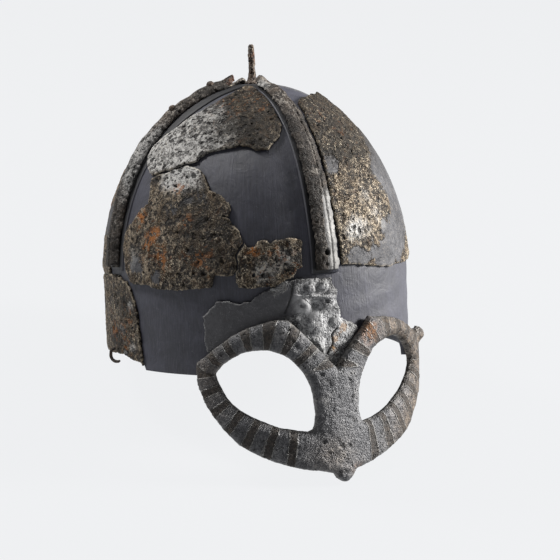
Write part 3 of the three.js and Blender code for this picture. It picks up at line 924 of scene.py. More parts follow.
# left and right are the reaches of a band's strip to its two sides
plainBand = {"to": 0.945, "lift": 1.0, "left": 0.0084, "right": 0.0084}
bands = {
    "front": {**plainBand, "turn": 0, "from": 0.055, "left": 0.0108, "sprung": 0.0022, "hole": 0.89},
    "right": {**plainBand, "turn": -91, "from": 0.075, "lift": 1.35, "right": 0.0126, "sprung": 0.002,
              "wideTop": 0.75, "bow": 0.0016},
    "back": {**plainBand, "turn": 180, "from": 0.08, "sprung": 0.0008},
    "left": {**plainBand, "turn": 90, "from": 0.34, "sprung": 0.001},
}


# a bar down a meridian: section rows are a share of half its width and a height, closed round
def meridianBar(name, turn, section, start, end, halfWidth, spacing, outer, fields=None, tear=0.0, seed=1,
                lift=lambda share, drop: 0.0):
    rng = random.Random(seed)
    section = np.array(section)
    sides = len(section)
    count = max(3, int((end - start) * dropLength / spacing))
    drops = np.linspace(start, end, count)
    point, out, side = domeFrame(np.full(count, float(turn)), drops)
    half = halfWidth(drops)
    edges = np.array([[rng.uniform(-1, 1) for _ in (0, 1)] for _ in range(count)]) * tear
    edges = (edges + np.roll(edges, 1, 0) + np.roll(edges, 2, 0)) / 2
    share = section[:, 0]
    reach = share[None] * half[:, None] + np.where(share[None] < -0.9, edges[:, :1], 0)
    reach = reach + np.where(share[None] > 0.9, edges[:, 1:], 0)
    sag = reach ** 2 / (2 * helmet["halfWidth"])
    rings = (point[:, None] + side[:, None] * reach[..., None]
             + out[:, None] * (section[None, :, 1] - sag + lift(share[None], drops[:, None]))[..., None])
    allDrops = np.repeat(drops, sides)
    values = {
        "face": np.tile(np.array(outer, float), count),
        "strokes": strokes(turn + np.degrees(reach.ravel() / meanRadius), allDrops),
    }
    for key, paint in (fields or {}).items():
        values[key] = paint(np.tile(share, count), allDrops)
    return makePiece(name, rings.reshape(-1, 3), tubeFaces(count, sides), values)


# the rivet hole low in the front band: 1 inside it, 0 outside
def drilled(band, share, drop):
    if "hole" not in band:
        return np.zeros(np.broadcast(share, drop).shape)
    aside = share * bandSize["halfBrow"] + bandSize["holeShift"]
    away = np.hypot((drop - band["hole"]) * dropLength, aside)
    return 1 / (1 + np.exp((away - bandSize["holeRadius"]) / bandSize["holeEdge"]))


# half the width of a band on its way down
def taper(drops):
    size = bandSize
    return size["halfTop"] + (size["halfBrow"] - size["halfTop"]) * held(drops)


def makeStrip(name, band):
    rise = bandSize["stripRise"]
    left, right = -band["left"] / bandSize["halfBrow"], band["right"] / bandSize["halfBrow"]
    foot = bandSize["stripFoot"]
    section = [(left, foot), (left, rise * 0.75), (left + 0.05, rise), (left + 0.12, rise),
               (left * 0.5, rise), (0, rise), (right * 0.5, rise), (right - 0.12, rise),
               (right - 0.05, rise), (right, rise * 0.75), (right, foot)]
    # the section points along which the strip's raised edge gets a painted highlight line, on both sides only
    # for the wearer's right strip
    worn = [section[i][0] for i in (1, 2, 8, 9)[:4 if name == "right" else 2]]

    # the wearer's right strip has no painted edge highlight near the crown
    def edge(share, drop):
        return np.isin(share, worn) * (held((drop - 0.42) * 6) if name == "right" else 1.0)

    # it is also wider further up, where it carries the upper plate
    def width(drops):
        extra = band.get("wideTop", 0) * bell(drops, 0.25, 0.22)
        return taper(drops) * (1 + extra)

    # painted highlight along the edge lines, and painted shadow elsewhere: over one side of the strip, all
    # over the wearer's right strip
    paints = {
        "worn": edge,
        "shade": lambda share, drop: ((share < 0.5) | (name == "right")) * (1.0 - edge(share, drop)),
    }
    piece = meridianBar("strip_" + name, band["turn"], section[::-1], 0.0, bandSize["stripEnd"], width,
                        bandSize["stripSpacing"], [0] * len(section), paints)
    return finishPiece(piece, filler, "filler", "filler_shell")


def makeBand(name, band):
    size = bandSize
    foot = size["stripRise"] + size["seam"]
    crest = size["crest"] * band["lift"]
    shares = np.linspace(-1, 1, size["across"])
    across, up = size["arch"]
    arch = foot + size["thick"] / 2 + (crest - size["thick"] / 2) * (1 - np.abs(shares) ** across) ** up
    # a crease down the band, a little to one side of its crest
    place, width, depth = size["crease"]
    crease = depth * bell(shares, place, width)
    outside = list(zip(shares, arch - crease))
    inside = [(s, foot + max(0.0, (crest - size["thick"]) * (1 - s * s))) for s in shares[::-1]]
    outer = [1] * len(outside) + [0] * len(inside)
    outer[0] = outer[len(outside) - 1] = size["edgeFace"]

    # the front band is worn smooth and pale low down on one side and a little near its top; the wearer's
    # right band gets a painted highlight half way down, lighter towards one side
    def worn(share, drop):
        low = held((share + 0.25 - 0.9 * held(0.80 - drop)) * 3) * held((drop - 0.60) * 9)
        high = 0.55 * bell(drop, 0.14, 0.07) * held(0.6 - share)
        if name == "right":
            return 0.9 * bell(drop, 0.56, 0.15) * held(0.5 + share * 0.7)
        return held(low + high) * (name == "front")

    def dark(share, drop):
        if name == "right":
            return held((0.36 - drop) * 6) + held((drop - 0.70) * 6)
        return (0.05 + 0.86 * held((drop - 0.25) * 6)) * (1 - worn(share, drop))

    # pale carries the front band's wear and the wearer's right band's painted highlight
    paints = {
        "pale": lambda share, drop: worn(share, drop) * np.where((name == "front") & (drop > 0.5), 0.4, 1.0),
        "smooth": lambda share, drop: (name == "front") * worn(share, drop) * held((drop - 0.62) * 7),
        "rust": lambda share, drop: (name == "right") * bell(drop, band["from"], 0.04),
        "dark": dark,
        "hole": lambda share, drop: drilled(band, share, drop),
    }

    # the top end is sprung and torn narrower, and one edge stands off its strip
    def lift(share, drop):
        end = bell(drop, band["from"], 0.035)
        wave = 0.0003 * np.sin(drop * 37 + 1.0) + 0.0002 * np.sin(drop * 90)
        bow = band.get("bow", 0) * bell(drop, 0.58, 0.2)
        sprung = band["sprung"] * end * (1 + 0.6 * share) + size["standOff"] * held(-share) ** 2
        return bow + sprung + wave - size["holeDepth"] * drilled(band, share, drop)

    def torn(drops):
        grown = held((drops - band["from"]) / size["topDrop"])
        return taper(drops) * (size["topShare"] + (1 - size["topShare"]) * grown)

    piece = meridianBar("ridge_" + name, band["turn"], (outside + inside)[::-1], band["from"], band["to"],
                        torn, size["spacing"], outer[::-1], paints, size["tear"], 5 + int(band["turn"]), lift)
    return finishIron(piece, irons["bandIron"], "band", 3.0 + band["turn"] / 10, "band_iron", "band_" + name)


makeShell()
for bandName, bandRow in bands.items():
    makeStrip(bandName, bandRow)
    makeBand(bandName, bandRow)
print("shell, strips and bands made")


# Plates
plateSize = {
    "chart": "dome",
    "spacing": 0.0008,
    "low": 0.0003,
    "thick": 0.0019,
    "edge": 0.72,
    "shoulder": 0.0016,
    "tear": 0.0008,
    "curl": 0.0003,
}
plates = {
    "plate_front_right_upper": {
        "seed": 101,
        "outline": [
            (-42, 0.08), (-48.5, 0.17), (-57.5, 0.25), (-64.5, 0.31), (-72, 0.36), (-76.5, 0.41),
            (-82, 0.46), (-86, 0.50), (-86.5, 0.545), (-81.5, 0.59), (-76, 0.62), (-68.5, 0.60),
            (-63, 0.59), (-58, 0.57), (-52.5, 0.56), (-49.5, 0.53), (-44.5, 0.52), (-40, 0.51),
            (-32.5, 0.50), (-29, 0.50), (-25.5, 0.52), (-22, 0.52), (-19, 0.52), (-17, 0.50), (-12, 0.46),
            (-9.5, 0.42), (-10.5, 0.33), (-14.5, 0.23), (-20, 0.15), (-28, 0.10),
        ],
        "pale": [(-70, 0.46, 0.024, 1.0), (-57, 0.46, 0.020, 0.6), (-82, 0.52, 0.015, 0.8),
                 (-60, 0.32, 0.012, 0.5), (-42, 0.44, 0.016, 0.45)],
        "rust": [(-30, 0.2, 0.02, 0.25), (-50, 0.28, 0.006, 0.6), (-22, 0.30, 0.008, 0.4),
                 (-45, 0.36, 0.008, 0.25)],
        "dark": [(-24, 0.28, 0.030, 1.0), (-18, 0.42, 0.020, 0.9), (-35, 0.42, 0.02, 0.4)],
    },
    "plate_front_right_lower": {
        "seed": 102,
        "outline": [
            (-75, 0.635), (-71, 0.615), (-65.5, 0.605), (-57, 0.58), (-53, 0.585), (-50, 0.595),
            (-48, 0.61), (-46.5, 0.63), (-44, 0.67), (-41, 0.68), (-38, 0.70), (-35.5, 0.72), (-35, 0.74),
            (-36, 0.76), (-38, 0.76), (-35.5, 0.77), (-34, 0.79), (-32, 0.81), (-30.8, 0.84), (-30.6, 0.85),
            (-32.1, 0.87), (-33.3, 0.89), (-32.9, 0.93), (-34.6, 0.95), (-38, 0.95), (-41, 0.95),
            (-42, 0.99), (-46.5, 0.99), (-54, 1.0), (-63, 1.0), (-70, 0.99), (-77, 0.99), (-79.5, 0.98),
            (-81.5, 0.95), (-83.5, 0.90), (-84.3, 0.87), (-84.3, 0.84), (-83, 0.81), (-80.5, 0.79),
            (-77.5, 0.76), (-75.5, 0.74), (-72.5, 0.72), (-73, 0.69), (-74.5, 0.66),
        ],
        "pale": [(-62, 0.62, 0.013, 0.75), (-52, 0.62, 0.012, 0.5), (-76, 0.90, 0.012, 0.35)],
        "rust": [(-75, 0.775, 0.006, 1.2), (-66, 0.82, 0.006, 1.2), (-62, 0.90, 0.007, 1.0),
                 (-46, 0.90, 0.010, 0.6), (-58, 0.66, 0.005, 1.0), (-70, 0.86, 0.006, 0.9),
                 (-53, 0.78, 0.005, 0.8)],
        "gold": [(-55, 0.90, 0.018, 0.8), (-66, 0.86, 0.014, 0.4)],
        "smooth": [(-74, 0.93, 0.0085, 0.85), (-58, 0.74, 0.009, 0.62), (-50, 0.70, 0.008, 0.55),
                   (-64, 0.96, 0.008, 0.6)],
        "dark": [(-45, 0.85, 0.020, 0.8), (-50, 0.70, 0.012, 0.4)],
    },
    "plate_front_right_corner": {
        "seed": 103,
        "outline": [
            (-30.1, 0.85), (-29, 0.86), (-26.5, 0.86), (-25, 0.84), (-22, 0.84), (-20.5, 0.85), (-19, 0.84),
            (-16, 0.84), (-11, 0.84), (-9, 0.85), (-9.3, 0.88), (-9.8, 0.93), (-11.5, 0.94), (-13, 0.96),
            (-16.5, 0.97), (-19.5, 0.99), (-21.5, 0.99), (-26.5, 0.99), (-30, 0.99), (-32.4, 0.99),
            (-33.2, 0.97), (-33.4, 0.955), (-32.4, 0.93), (-32.0, 0.91), (-32.7, 0.89), (-31.5, 0.87),
        ],
        "pale": [(-24, 0.93, 0.012, 0.46), (-14, 0.89, 0.009, 0.38)],
        "gold": [(-20, 0.92, 0.02, 1.0)],
        "rust": [(-27, 0.875, 0.0045, 1.1), (-15, 0.92, 0.008, 0.5), (-24, 0.96, 0.005, 0.6),
                 (-20, 0.88, 0.006, 0.6)],
        "dark": [(-11, 0.90, 0.006, 0.5)],
    },
    "plate_front_left": {
        "seed": 104,
        "flare": {"edge": 0.25, "flat": 0.42, "height": 0.0026},
        "outline": [
            (13, 0.285), (16.5, 0.275), (24, 0.27), (36, 0.255), (48, 0.262), (62, 0.25), (72, 0.262),
            (76, 0.26), (82.5, 0.5), (84, 0.7), (85, 0.9), (85, 0.965), (76, 0.97), (66, 0.962), (57, 0.95),
            (53, 0.96), (42, 0.96), (35, 0.96), (30, 0.96), (21.5, 0.95), (14, 0.94), (6, 0.935),
            (5.9, 0.91), (5.6, 0.82), (5.6, 0.72), (6.2, 0.62), (6.9, 0.54), (8.6, 0.40),
        ],
        "pale": [(24, 0.72, 0.012, 0.25), (14, 0.83, 0.012, 0.48), (30, 0.80, 0.012, 0.3)],
        "rust": [(22, 0.40, 0.02, 0.12)],
        "gold": [(18, 0.55, 0.030, 0.7), (26, 0.72, 0.030, 1.0), (14, 0.78, 0.020, 0.9),
                 (60, 0.9, 0.03, 0.7)],
        "smooth": [(46, 0.66, 0.018, 1.0), (45, 0.84, 0.015, 1.0), (58, 0.74, 0.022, 0.9),
                   (56, 0.54, 0.014, 0.8), (9.5, 0.60, 0.0100, 0.9), (74, 0.84, 0.016, 0.8),
                   (27, 0.925, 0.0115, 1.0), (37, 0.90, 0.013, 1.0), (13, 0.92, 0.0095, 0.9),
                   (31, 0.82, 0.006, 0.6)],
        "dark": [(16, 0.34, 0.028, 1.8), (34, 0.34, 0.030, 1.8), (55, 0.36, 0.03, 1.4),
                 (20, 0.50, 0.02, 0.9), (72, 0.5, 0.025, 0.8)],
    },
    "plate_back_left": {
        "seed": 105,
        "spacing": 0.0013,
        "outline": [
            (106, 0.16), (97, 0.4), (95.6, 0.7), (95, 0.975), (100, 0.982), (109, 0.972), (118, 0.97),
            (127, 0.98), (136, 0.985), (147, 0.975), (158, 0.978), (168, 0.985), (174.8, 0.985), (174, 0.7),
            (172, 0.4), (163, 0.15), (148, 0.09), (126, 0.09),
        ],
        "pale": [(140, 0.85, 0.020, 0.7), (104, 0.6, 0.014, 0.6)],
        "rust": [(120, 0.5, 0.02, 0.8), (150, 0.62, 0.016, 0.8), (110, 0.86, 0.012, 0.9)],
        "smooth": [(125, 0.70, 0.014, 1.0), (160, 0.45, 0.012, 0.9), (165, 0.88, 0.010, 0.8)],
        "dark": [(130, 0.35, 0.035, 1.2), (160, 0.7, 0.025, 1.0), (112, 0.75, 0.020, 0.9)],
    },
    "plate_back_right": {
        "seed": 106,
        "spacing": 0.0013,
        "outline": [
            (-108, 0.17), (-100, 0.4), (-97.5, 0.7), (-96.5, 0.975), (-104, 0.982), (-110, 0.972),
            (-116, 0.965), (-119, 0.93), (-123, 0.88), (-129, 0.885), (-133, 0.93), (-138, 0.975),
            (-149, 0.98), (-160, 0.984), (-170, 0.98), (-174.8, 0.978), (-174, 0.7), (-172, 0.4),
            (-163, 0.15), (-148, 0.09), (-126, 0.09),
        ],
        "pale": [(-138, 0.5, 0.018, 0.7), (-112, 0.5, 0.020, 0.8), (-160, 0.88, 0.012, 0.6)],
        "rust": [(-118, 0.7, 0.018, 0.9), (-150, 0.78, 0.016, 0.8), (-165, 0.4, 0.014, 0.7)],
        "smooth": [(-145, 0.90, 0.012, 1.0), (-105, 0.80, 0.012, 0.9)],
        "dark": [(-160, 0.6, 0.03, 1.1), (-125, 0.3, 0.03, 1.1), (-130, 0.78, 0.022, 1.0)],
    },
}
# drilled rivet holes: the plate, its turn and drop, and the radius
plateHoles = [
    ("plate_front_right_corner", -27, 0.95, 0.0014),
    ("plate_front_right_lower", -70.5, 0.95, 0.0009),
]


def roundHole(turn, drop, radius):
    angles = np.linspace(0, 2 * np.pi, 14, endpoint=False)
    reach = meanRadius * math.sin(min(drop, 1) * math.pi / 2)
    turns = turn + np.degrees(np.cos(angles) * radius / reach)
    drops = drop + np.sin(angles) * radius / dropLength
    return list(zip(turns, drops))


# a torn edge that stands away from the surface: drops from the edge to where it lies flat, and a height
def flare(row):
    def shape(turn, drop, gap):
        return row["height"] * np.clip((row["flat"] - drop) / (row["flat"] - row["edge"]), 0, 1.2) ** 1.5
    return shape


def makePlate(name, row):
    size = {**plateSize, **{key: row[key] for key in ("seed", "spacing") if key in row}}
    paints = {key: patches(*row.get(key, [])) for key in ("pale", "rust", "smooth", "dark", "gold")}
    holes = [roundHole(*hole[1:]) for hole in plateHoles if hole[0] == name]
    if "flare" in row:
        size["shape"] = flare(row["flare"])
    piece = slab(name.replace("plate", "iron"), size, row["outline"], holes, paints)
    return finishIron(piece, irons["plateIron"], "plate", float(row["seed"]), "plate_iron", name)


for plateName, plateRow in plates.items():
    makePlate(plateName, plateRow)
print("plates made")


# Brow fragments
browSize = {
    "chart": "wall",
    "spacing": 0.0010,
    "low": 0.0003,
    "thick": 0.0014,
    "edge": 0.7,
    "shoulder": 0.0012,
    "tear": 0.0006,
    "curl": 0.0002,
}
browEdge = 0.0015  # the raised work dies away towards the edge over this
browSide = [
    (-118, 1.02), (-110, 0.99), (-101, 0.985), (-97, 0.975), (-88, 0.97), (-81, 0.995), (-77.5, 1.11),
    (-75.5, 1.29), (-75, 1.53), (-74, 1.78), (-73.5, 1.98), (-75, 1.93), (-79.5, 1.93), (-85, 1.89),
    (-91.5, 1.88), (-97, 1.9), (-103, 1.91), (-110, 1.86), (-117, 1.9), (-121, 1.6), (-117, 1.3),
]
browFront = [
    (-44.5, 1.76), (-45.5, 1.53), (-45.5, 1.32), (-43.5, 1.24), (-42, 1.20), (-40.5, 1.12), (-35.5, 1.13),
    (-32, 1.15), (-28.5, 1.12), (-24, 1.02), (-22, 1.0), (-16.5, 0.975), (-10.5, 0.97), (-9, 0.97),
    (1, 0.972), (3.5, 1.05), (3, 1.14), (3.5, 1.23), (4.5, 1.39), (8.5, 1.45), (12, 1.52), (10.5, 1.59),
    (6, 1.78), (3.5, 1.92), (0, 1.95), (-4, 1.78), (-8, 1.62), (-15, 1.47), (-25, 1.44), (-36, 1.6),
]
# bosses and hollows: turn, drop, radius, height
browBosses = [
    (-1, 1.17, 0.0046, 0.0030), (-9.8, 1.21, 0.0044, 0.0026), (-5.6, 1.42, 0.0064, 0.0024),
    (-5, 1.69, 0.0045, 0.0018), (-17, 1.28, 0.0030, -0.0010), (-7, 1.01, 0.0030, 0.0020),
    (-2.2, 0.995, 0.0030, 0.0020), (-12.5, 1.05, 0.0030, 0.0012), (2.2, 1.42, 0.0036, 0.0014),
    (-13, 1.44, 0.0036, -0.0010), (-5.6, 1.20, 0.0024, -0.0014), (0.8, 1.06, 0.0024, 0.0014),
    (-10.6, 1.20, 0.0013, -0.0018), (-1.6, 1.16, 0.0013, -0.0018),
]
# a raised border across it: its drop at turn -5, its slope, its width, its height and where it starts
browBorder = {"drop": 1.10, "slope": 0.004, "width": 0.012, "height": 0.0010, "from": -14}
crackSize = {"width": 0.0005, "depth": 0.0011, "steps": 60}
# the cracks through the sheet, as turns and drops
browCracks = [
    [(-13.5, 0.98), (-14.2, 1.10), (-16.5, 1.28)],
    [(2.6, 1.50), (0.4, 1.58), (0.8, 1.68), (-1.6, 1.80)],
]


# 1 in a crack, 0 away from it
def crackField(turn, drop):
    places = domePoint(turn, drop)
    total = np.zeros(len(places))
    for crack in browCracks:
        rows = np.array(crack, float)
        at = np.linspace(0, len(rows) - 1, crackSize["steps"])
        line = domePoint(*(np.interp(at, np.arange(len(rows)), rows[:, i]) for i in (0, 1)))
        away, _ = nearest(places, line)
        total = np.maximum(total, bell(away, 0, crackSize["width"]))
    return total


def bosses(turn, drop, gap):
    places = domePoint(turn, drop)
    total = np.zeros(len(places))
    for bossTurn, bossDrop, radius, height in browBosses:
        away = np.sqrt(awayFrom(places, bossTurn, bossDrop)) / radius
        total += height * np.exp(-away ** 4)
    row = browBorder
    border = row["height"] * bell(drop - row["drop"], row["slope"] * (turn + 5), row["width"])
    total += border * (turn > row["from"])
    return total * held(gap / browEdge) - crackField(turn, drop) * crackSize["depth"]


def makeBrow():
    size = {**browSize, "seed": 201, "thick": 0.0017, "tear": 0.0013}
    side = slab("browSide", size, browSide, (), {
        "pale": patches((-80, 1.25, 0.005, 0.6), (-79, 1.75, 0.005, 0.5), (-86, 1.55, 0.005, 0.5),
                        (-84, 1.86, 0.004, 0.6)),
        "rust": patches((-84, 1.58, 0.008, 0.5), (-79, 1.40, 0.006, 0.6), (-82, 1.78, 0.006, 0.6),
                        (-93, 1.6, 0.008, 0.8)),
        "smooth": patches(),
        "gold": patches((-93, 1.35, 0.010, 0.9), (-80, 1.6, 0.010, 0.6)),
        "dark": patches((-84, 1.12, 0.010, 0.9), (-90, 1.75, 0.012, 0.9), (-82, 1.4, 0.010, 0.5)),
    })
    finishIron(side, irons["plateIron"], "browSide", 4.0, "brow_iron", "brow_fragment_side")
    size = {**browSize, "seed": 202, "spacing": 0.0006, "thick": 0.0018, "tear": 0.0009, "shape": bosses}
    front = slab("browFront", size, browFront, (), {
        "pale": patches((-6, 1.10, 0.011, 0.9), (-4, 1.30, 0.012, 1.0), (3, 1.5, 0.010, 0.9),
                        (-6, 1.5, 0.010, 0.9)),
        "rust": patches((2, 1.62, 0.003, 1.5), (5, 1.50, 0.0035, 1.6), (0.5, 1.74, 0.002, 1.2)),
        "smooth": patches((-36, 1.35, 0.018, 1.0), (-26, 1.28, 0.014, 1.0), (-42, 1.5, 0.012, 0.9),
                          (-5, 1.35, 0.014, 0.5), (-14, 1.15, 0.010, 0.8)),
        "hole": crackField,
    })
    finishIron(front, irons["browIron"], "browFront", 5.0, "brow_iron", "brow_fragment_front")


makeBrow()
print("brow fragments made")


# Eye guard, its outlines as turn and height below the brow line in millimetres
rightEye = [
    (-41.2, -52.2), (-38.5, -46.4), (-35.5, -42.9), (-32.2, -39.7), (-28.8, -37.9), (-25.5, -37.6),
    (-22.8, -37.6), (-20.2, -39.2), (-17.5, -41.3), (-15, -44.5), (-12.8, -48.8), (-11, -53.3), (-9.8, -58),
    (-8.8, -62.5), (-8.2, -67.8), (-7.8, -73.7), (-7.5, -80), (-8, -85.9), (-8.8, -89.2), (-10.5, -90.4),
    (-13.2, -89.8), (-16.5, -88.5), (-19.8, -87.2), (-23.2, -84.8), (-26.5, -81.9), (-29.8, -79),
    (-33, -75.5), (-35.5, -71.8), (-37.5, -67.3), (-39, -62.3), (-40.5, -57.2),
]
leftEye = [
    (29.2, -36.6), (32, -38.7), (35.8, -43.2), (38.2, -48.5), (40, -54.3), (39.8, -58.8), (37.5, -64.1),
    (33.8, -68.9), (30.8, -73.1), (26.5, -77.1), (23, -80.8), (18.5, -84), (14.5, -86.1), (11, -87.4),
    (9.8, -87.4), (9, -83.5), (8.5, -78.2), (8.8, -72.3), (9.2, -66), (10.2, -59.9), (11.8, -53.8),
    (13.8, -47.7), (16.2, -42.4), (19.2, -39.2), (23.5, -37.1), (26.5, -36.6),
]
guardRim = [
    (0.8, -50.9), (-1.8, -45.8), (-4.5, -40.3), (-7.5, -34.2), (-10.5, -28.6), (-13.2, -23.3),
    (-15.8, -19.5), (-18.5, -18.8), (-21.8, -19.3), (-25.2, -20.9), (-28.5, -22.8), (-31.8, -25.2),
    (-35.2, -28.4), (-38, -32.3), (-41, -36), (-43.2, -39.5), (-45, -42.2), (-47.2, -44.8), (-48, -48.2),
    (-47.6, -55.1), (-47, -61.5), (-45.7, -67.8), (-44, -74.2), (-42, -79.8), (-39.2, -86.7),
    (-36.2, -92.5), (-33.5, -97.5), (-30.2, -101.2), (-26.2, -105.2), (-22, -108.6), (-17, -111.8),
    (-12, -114.5), (-6.8, -116.1), (-2.2, -118.2), (-1.2, -121.4), (0.8, -123.9), (2.2, -124.6),
    (3.6, -123.4), (5.0, -120.6), (6.4, -116.8), (9.5, -115.8), (13, -113.7), (17.8, -110.8),
    (23.2, -107.1), (29.8, -102), (35.2, -95.9), (40, -87.5), (43.5, -79.5), (46, -70.5), (47.6, -61.5),
    (48.4, -53), (49.0, -46.5), (50.4, -43.5), (50.8, -39.5), (49.4, -36.2), (46.5, -37.2), (43.2, -36.6),
    (39, -32.1), (34, -27.8), (29, -24.9), (24, -23.1), (19.2, -22.3), (15.8, -21.2), (14.2, -24.6),
    (11.5, -29.9), (8.2, -35), (5.2, -40.8), (2.5, -46.6),
]
guardShape = {
    "chart": "wall",
    "spacing": 0.0009,
    "low": 0.0,
    "thick": 0.0056,
    "edge": 0.30,
    "shoulder": 0.0060,
    "tear": 0.00028,
    "seed": 301,
    "stripeEvery": 0.0123,
    "halfBar": 0.0065,
    "runSteps": 12,  # to each side of an eye hole's outline
    "noseTurn": 10.5,
    "noseTop": 0.050,
    "noseEdge": 0.004,
    "noseRidge": (0.0008, 5, 0.3, 4),  # its height, width in degrees, start as a share down, and growth
    "knob": (48.6, -40.0, 0.0052, 0.0034),  # turn, height in millimetres, radius, how far it stands out
}


# the drop of a height in millimetres above the brow line
def dropAt(z):
    return 1 - z / 1000 / helmet["browHeight"]


def dropRows(rows):
    return [(turn, dropAt(z)) for turn, z in rows]


# further out than the shell, and leaning forward towards its lower edge
def guardStand(turn, drop, gap):
    z = (1 - drop) * helmet["browHeight"]
    share = np.clip((-z - guardSize["top"]) / guardSize["depth"], 0, guardSize["most"])
    knobTurn, knobZ, radius, height = guardShape["knob"]
    away = np.sqrt(awayFrom(domePoint(turn, drop), knobTurn, dropAt(knobZ))) / radius
    knob = height * np.exp(-away ** 3)
    ridge, width, start, growth = guardShape["noseRidge"]
    nose = ridge * bell(turn, 0, width) * held((share - start) * growth)
    return guardSize["standoff"] + guardSize["lean"] * share + knob + nose


# the run of each ring: a loop half a bar's width outside its eye hole
def ringRun(hole):
    loop = np.array(dropRows(hole))
    points = domePoint(loop[:, 0], loop[:, 1])
    middle = points.mean(0)
    spoke = points - middle
    length = np.linalg.norm(spoke, axis=1, keepdims=True)
    points = middle + spoke * (1 + guardShape["halfBar"] / length)
    after = np.roll(points, -1, axis=0)
    shares = np.linspace(0, 1, guardShape["runSteps"], endpoint=False)[None, :, None]
    return (points[:, None] + (after - points)[:, None] * shares).reshape(-1, 3)


# 1 on the nose piece, which carries no stripes
def plainField(turn, drop):
    z = (1 - drop) * helmet["browHeight"]
    below = held((-guardShape["noseTop"] - z) / guardShape["noseEdge"])
    return np.exp(-(turn / guardShape["noseTurn"]) ** 8) * below


# 1 in the middle of each dark stripe, 0 half way to the next
def stripeField(turn, drop):
    places = domePoint(turn, drop)
    result = np.zeros(len(places))
    for hole, side in ((rightEye, -1), (leftEye, 1)):
        run = ringRun(hole)
        steps = np.linalg.norm(np.roll(run, -1, axis=0) - run, axis=1)
        along = np.concatenate([[0], np.cumsum(steps)[:-1]])
        _, which = nearest(places, run)
        count = round(steps.sum() / guardShape["stripeEvery"])
        wave = 0.5 + 0.5 * np.cos(2 * np.pi * count * along[which] / steps.sum() + 1.0)
        result = np.where(turn * side > 0, wave, result)
    return result * (1 - plainField(turn, drop))


def makeGuard():
    size = {**guardShape, "shape": guardStand}
    piece = slab("eyeGuard", size, dropRows(guardRim), (dropRows(rightEye), dropRows(leftEye)), {
        "stripe": stripeField,
        "plain": plainField,
        "rust": patches((36, 1.62, 0.018, 1.3), (26, 1.5, 0.014, 0.9), (-44, 1.9, 0.014, 0.5),
                        (47, 2.1, 0.02, 1.2), (-46, 2.4, 0.016, 0.4), (40, 2.7, 0.018, 0.9),
                        (30, 2.9, 0.016, 0.8), (-3, 3.0, 0.012, 0.5)),
        "hot": patches((13.5, 1.62, 0.0055, 1.0), (15.5, 1.52, 0.004, 0.8), (6, 3.2, 0.004, 0.5)),
    })
    # the back of the slab follows the front at a steady thickness
    mesh = piece.data
    count = len(mesh.vertices) // 2
    coords = np.zeros(len(mesh.vertices) * 3)
    mesh.vertices.foreach_get("co", coords)
    coords = coords.reshape(-1, 3)
    strokesField = np.zeros(len(mesh.vertices) * 3)
    mesh.attributes["strokes"].data.foreach_get("vector", strokesField)
    turned = strokesField.reshape(-1, 3)[:count]
    turn, drop = np.degrees(np.arctan2(turned[:, 0], turned[:, 1])), turned[:, 2]
    low = guardStand(turn, drop, None)
    knobless = np.minimum(low, guardSize["standoff"] + guardSize["lean"] * guardSize["most"])
    back = onDome(turn, drop, knobless)
    matrix = np.array(toRest)
    coords[count:] = back @ matrix[:3, :3].T + matrix[:3, 3]
    mesh.vertices.foreach_set("co", coords.ravel())
    mesh.update()
    return finishIron(piece, guardIron, "guard", 6.0, "guard_iron", "eye_guard")


makeGuard()
print("eye guard made")


# Spike, rivets and mail hook
spikeSize = {
    "foot": 0.0013,
    "profile": [(0.0050, 0.0), (0.0047, 0.0008), (0.0034, 0.0022), (0.0027, 0.0045), (0.0025, 0.009),
                (0.0023, 0.014), (0.0021, 0.021), (0.0019, 0.0248), (0.0012, 0.0262)],
    "sides": 28,
    "rings": 60,
    "wobble": 0.03,
}


# a turned piece: radius and height along its profile
def lathe(name, profile, sides, rings, place, out, side, wobble):
    rng = random.Random(1)
    profile = np.array(profile)
    steps = np.concatenate([[0], np.cumsum(np.linalg.norm(np.diff(profile, axis=0), axis=1))])
    at = np.linspace(0, steps[-1], rings)
    radius = np.interp(at, steps, profile[:, 0])
    height = np.interp(at, steps, profile[:, 1])
    angles = np.linspace(0, 2 * np.pi, sides, endpoint=False)
    other = np.cross(out, side)
    bump = np.array([[1 + wobble * rng.uniform(-1, 1) for _ in angles] for _ in at])
    across = (radius[:, None] * bump)[..., None] * (
        np.cos(angles)[None, :, None] * side + np.sin(angles)[None, :, None] * other)
    points = place + across + height[:, None, None] * out
    count = rings * sides
    return makePiece(name, points.reshape(-1, 3), tubeFaces(rings, sides), {
        "face": np.ones(count), "rust": np.full(count, 0.4),
    })


def makeSpike():
    apex = domePoint(np.array(0.0), np.array(0.0)) + np.array((0, 0, spikeSize["foot"]))
    piece = lathe("crownSpike", spikeSize["profile"], spikeSize["sides"], spikeSize["rings"], apex,
                  np.array((0.0, 0, 1)), np.array((1.0, 0, 0)), spikeSize["wobble"])
    return finishIron(piece, irons["fittingIron"], "spike", 7.0, "fitting_iron", "spike")


rivetSize = {
    "radius": 0.0026,
    "height": 0.0023,
    "above": 0.0003,  # how far the strip and the band's crest stand apart
    "sunk": 0.0002,
    "places": [("right", -91, 0.17), ("right", -91, 0.345), ("back", 180, 0.3), ("back", 180, 0.86),
               ("left", 90, 0.42), ("left", 90, 0.86)],
}


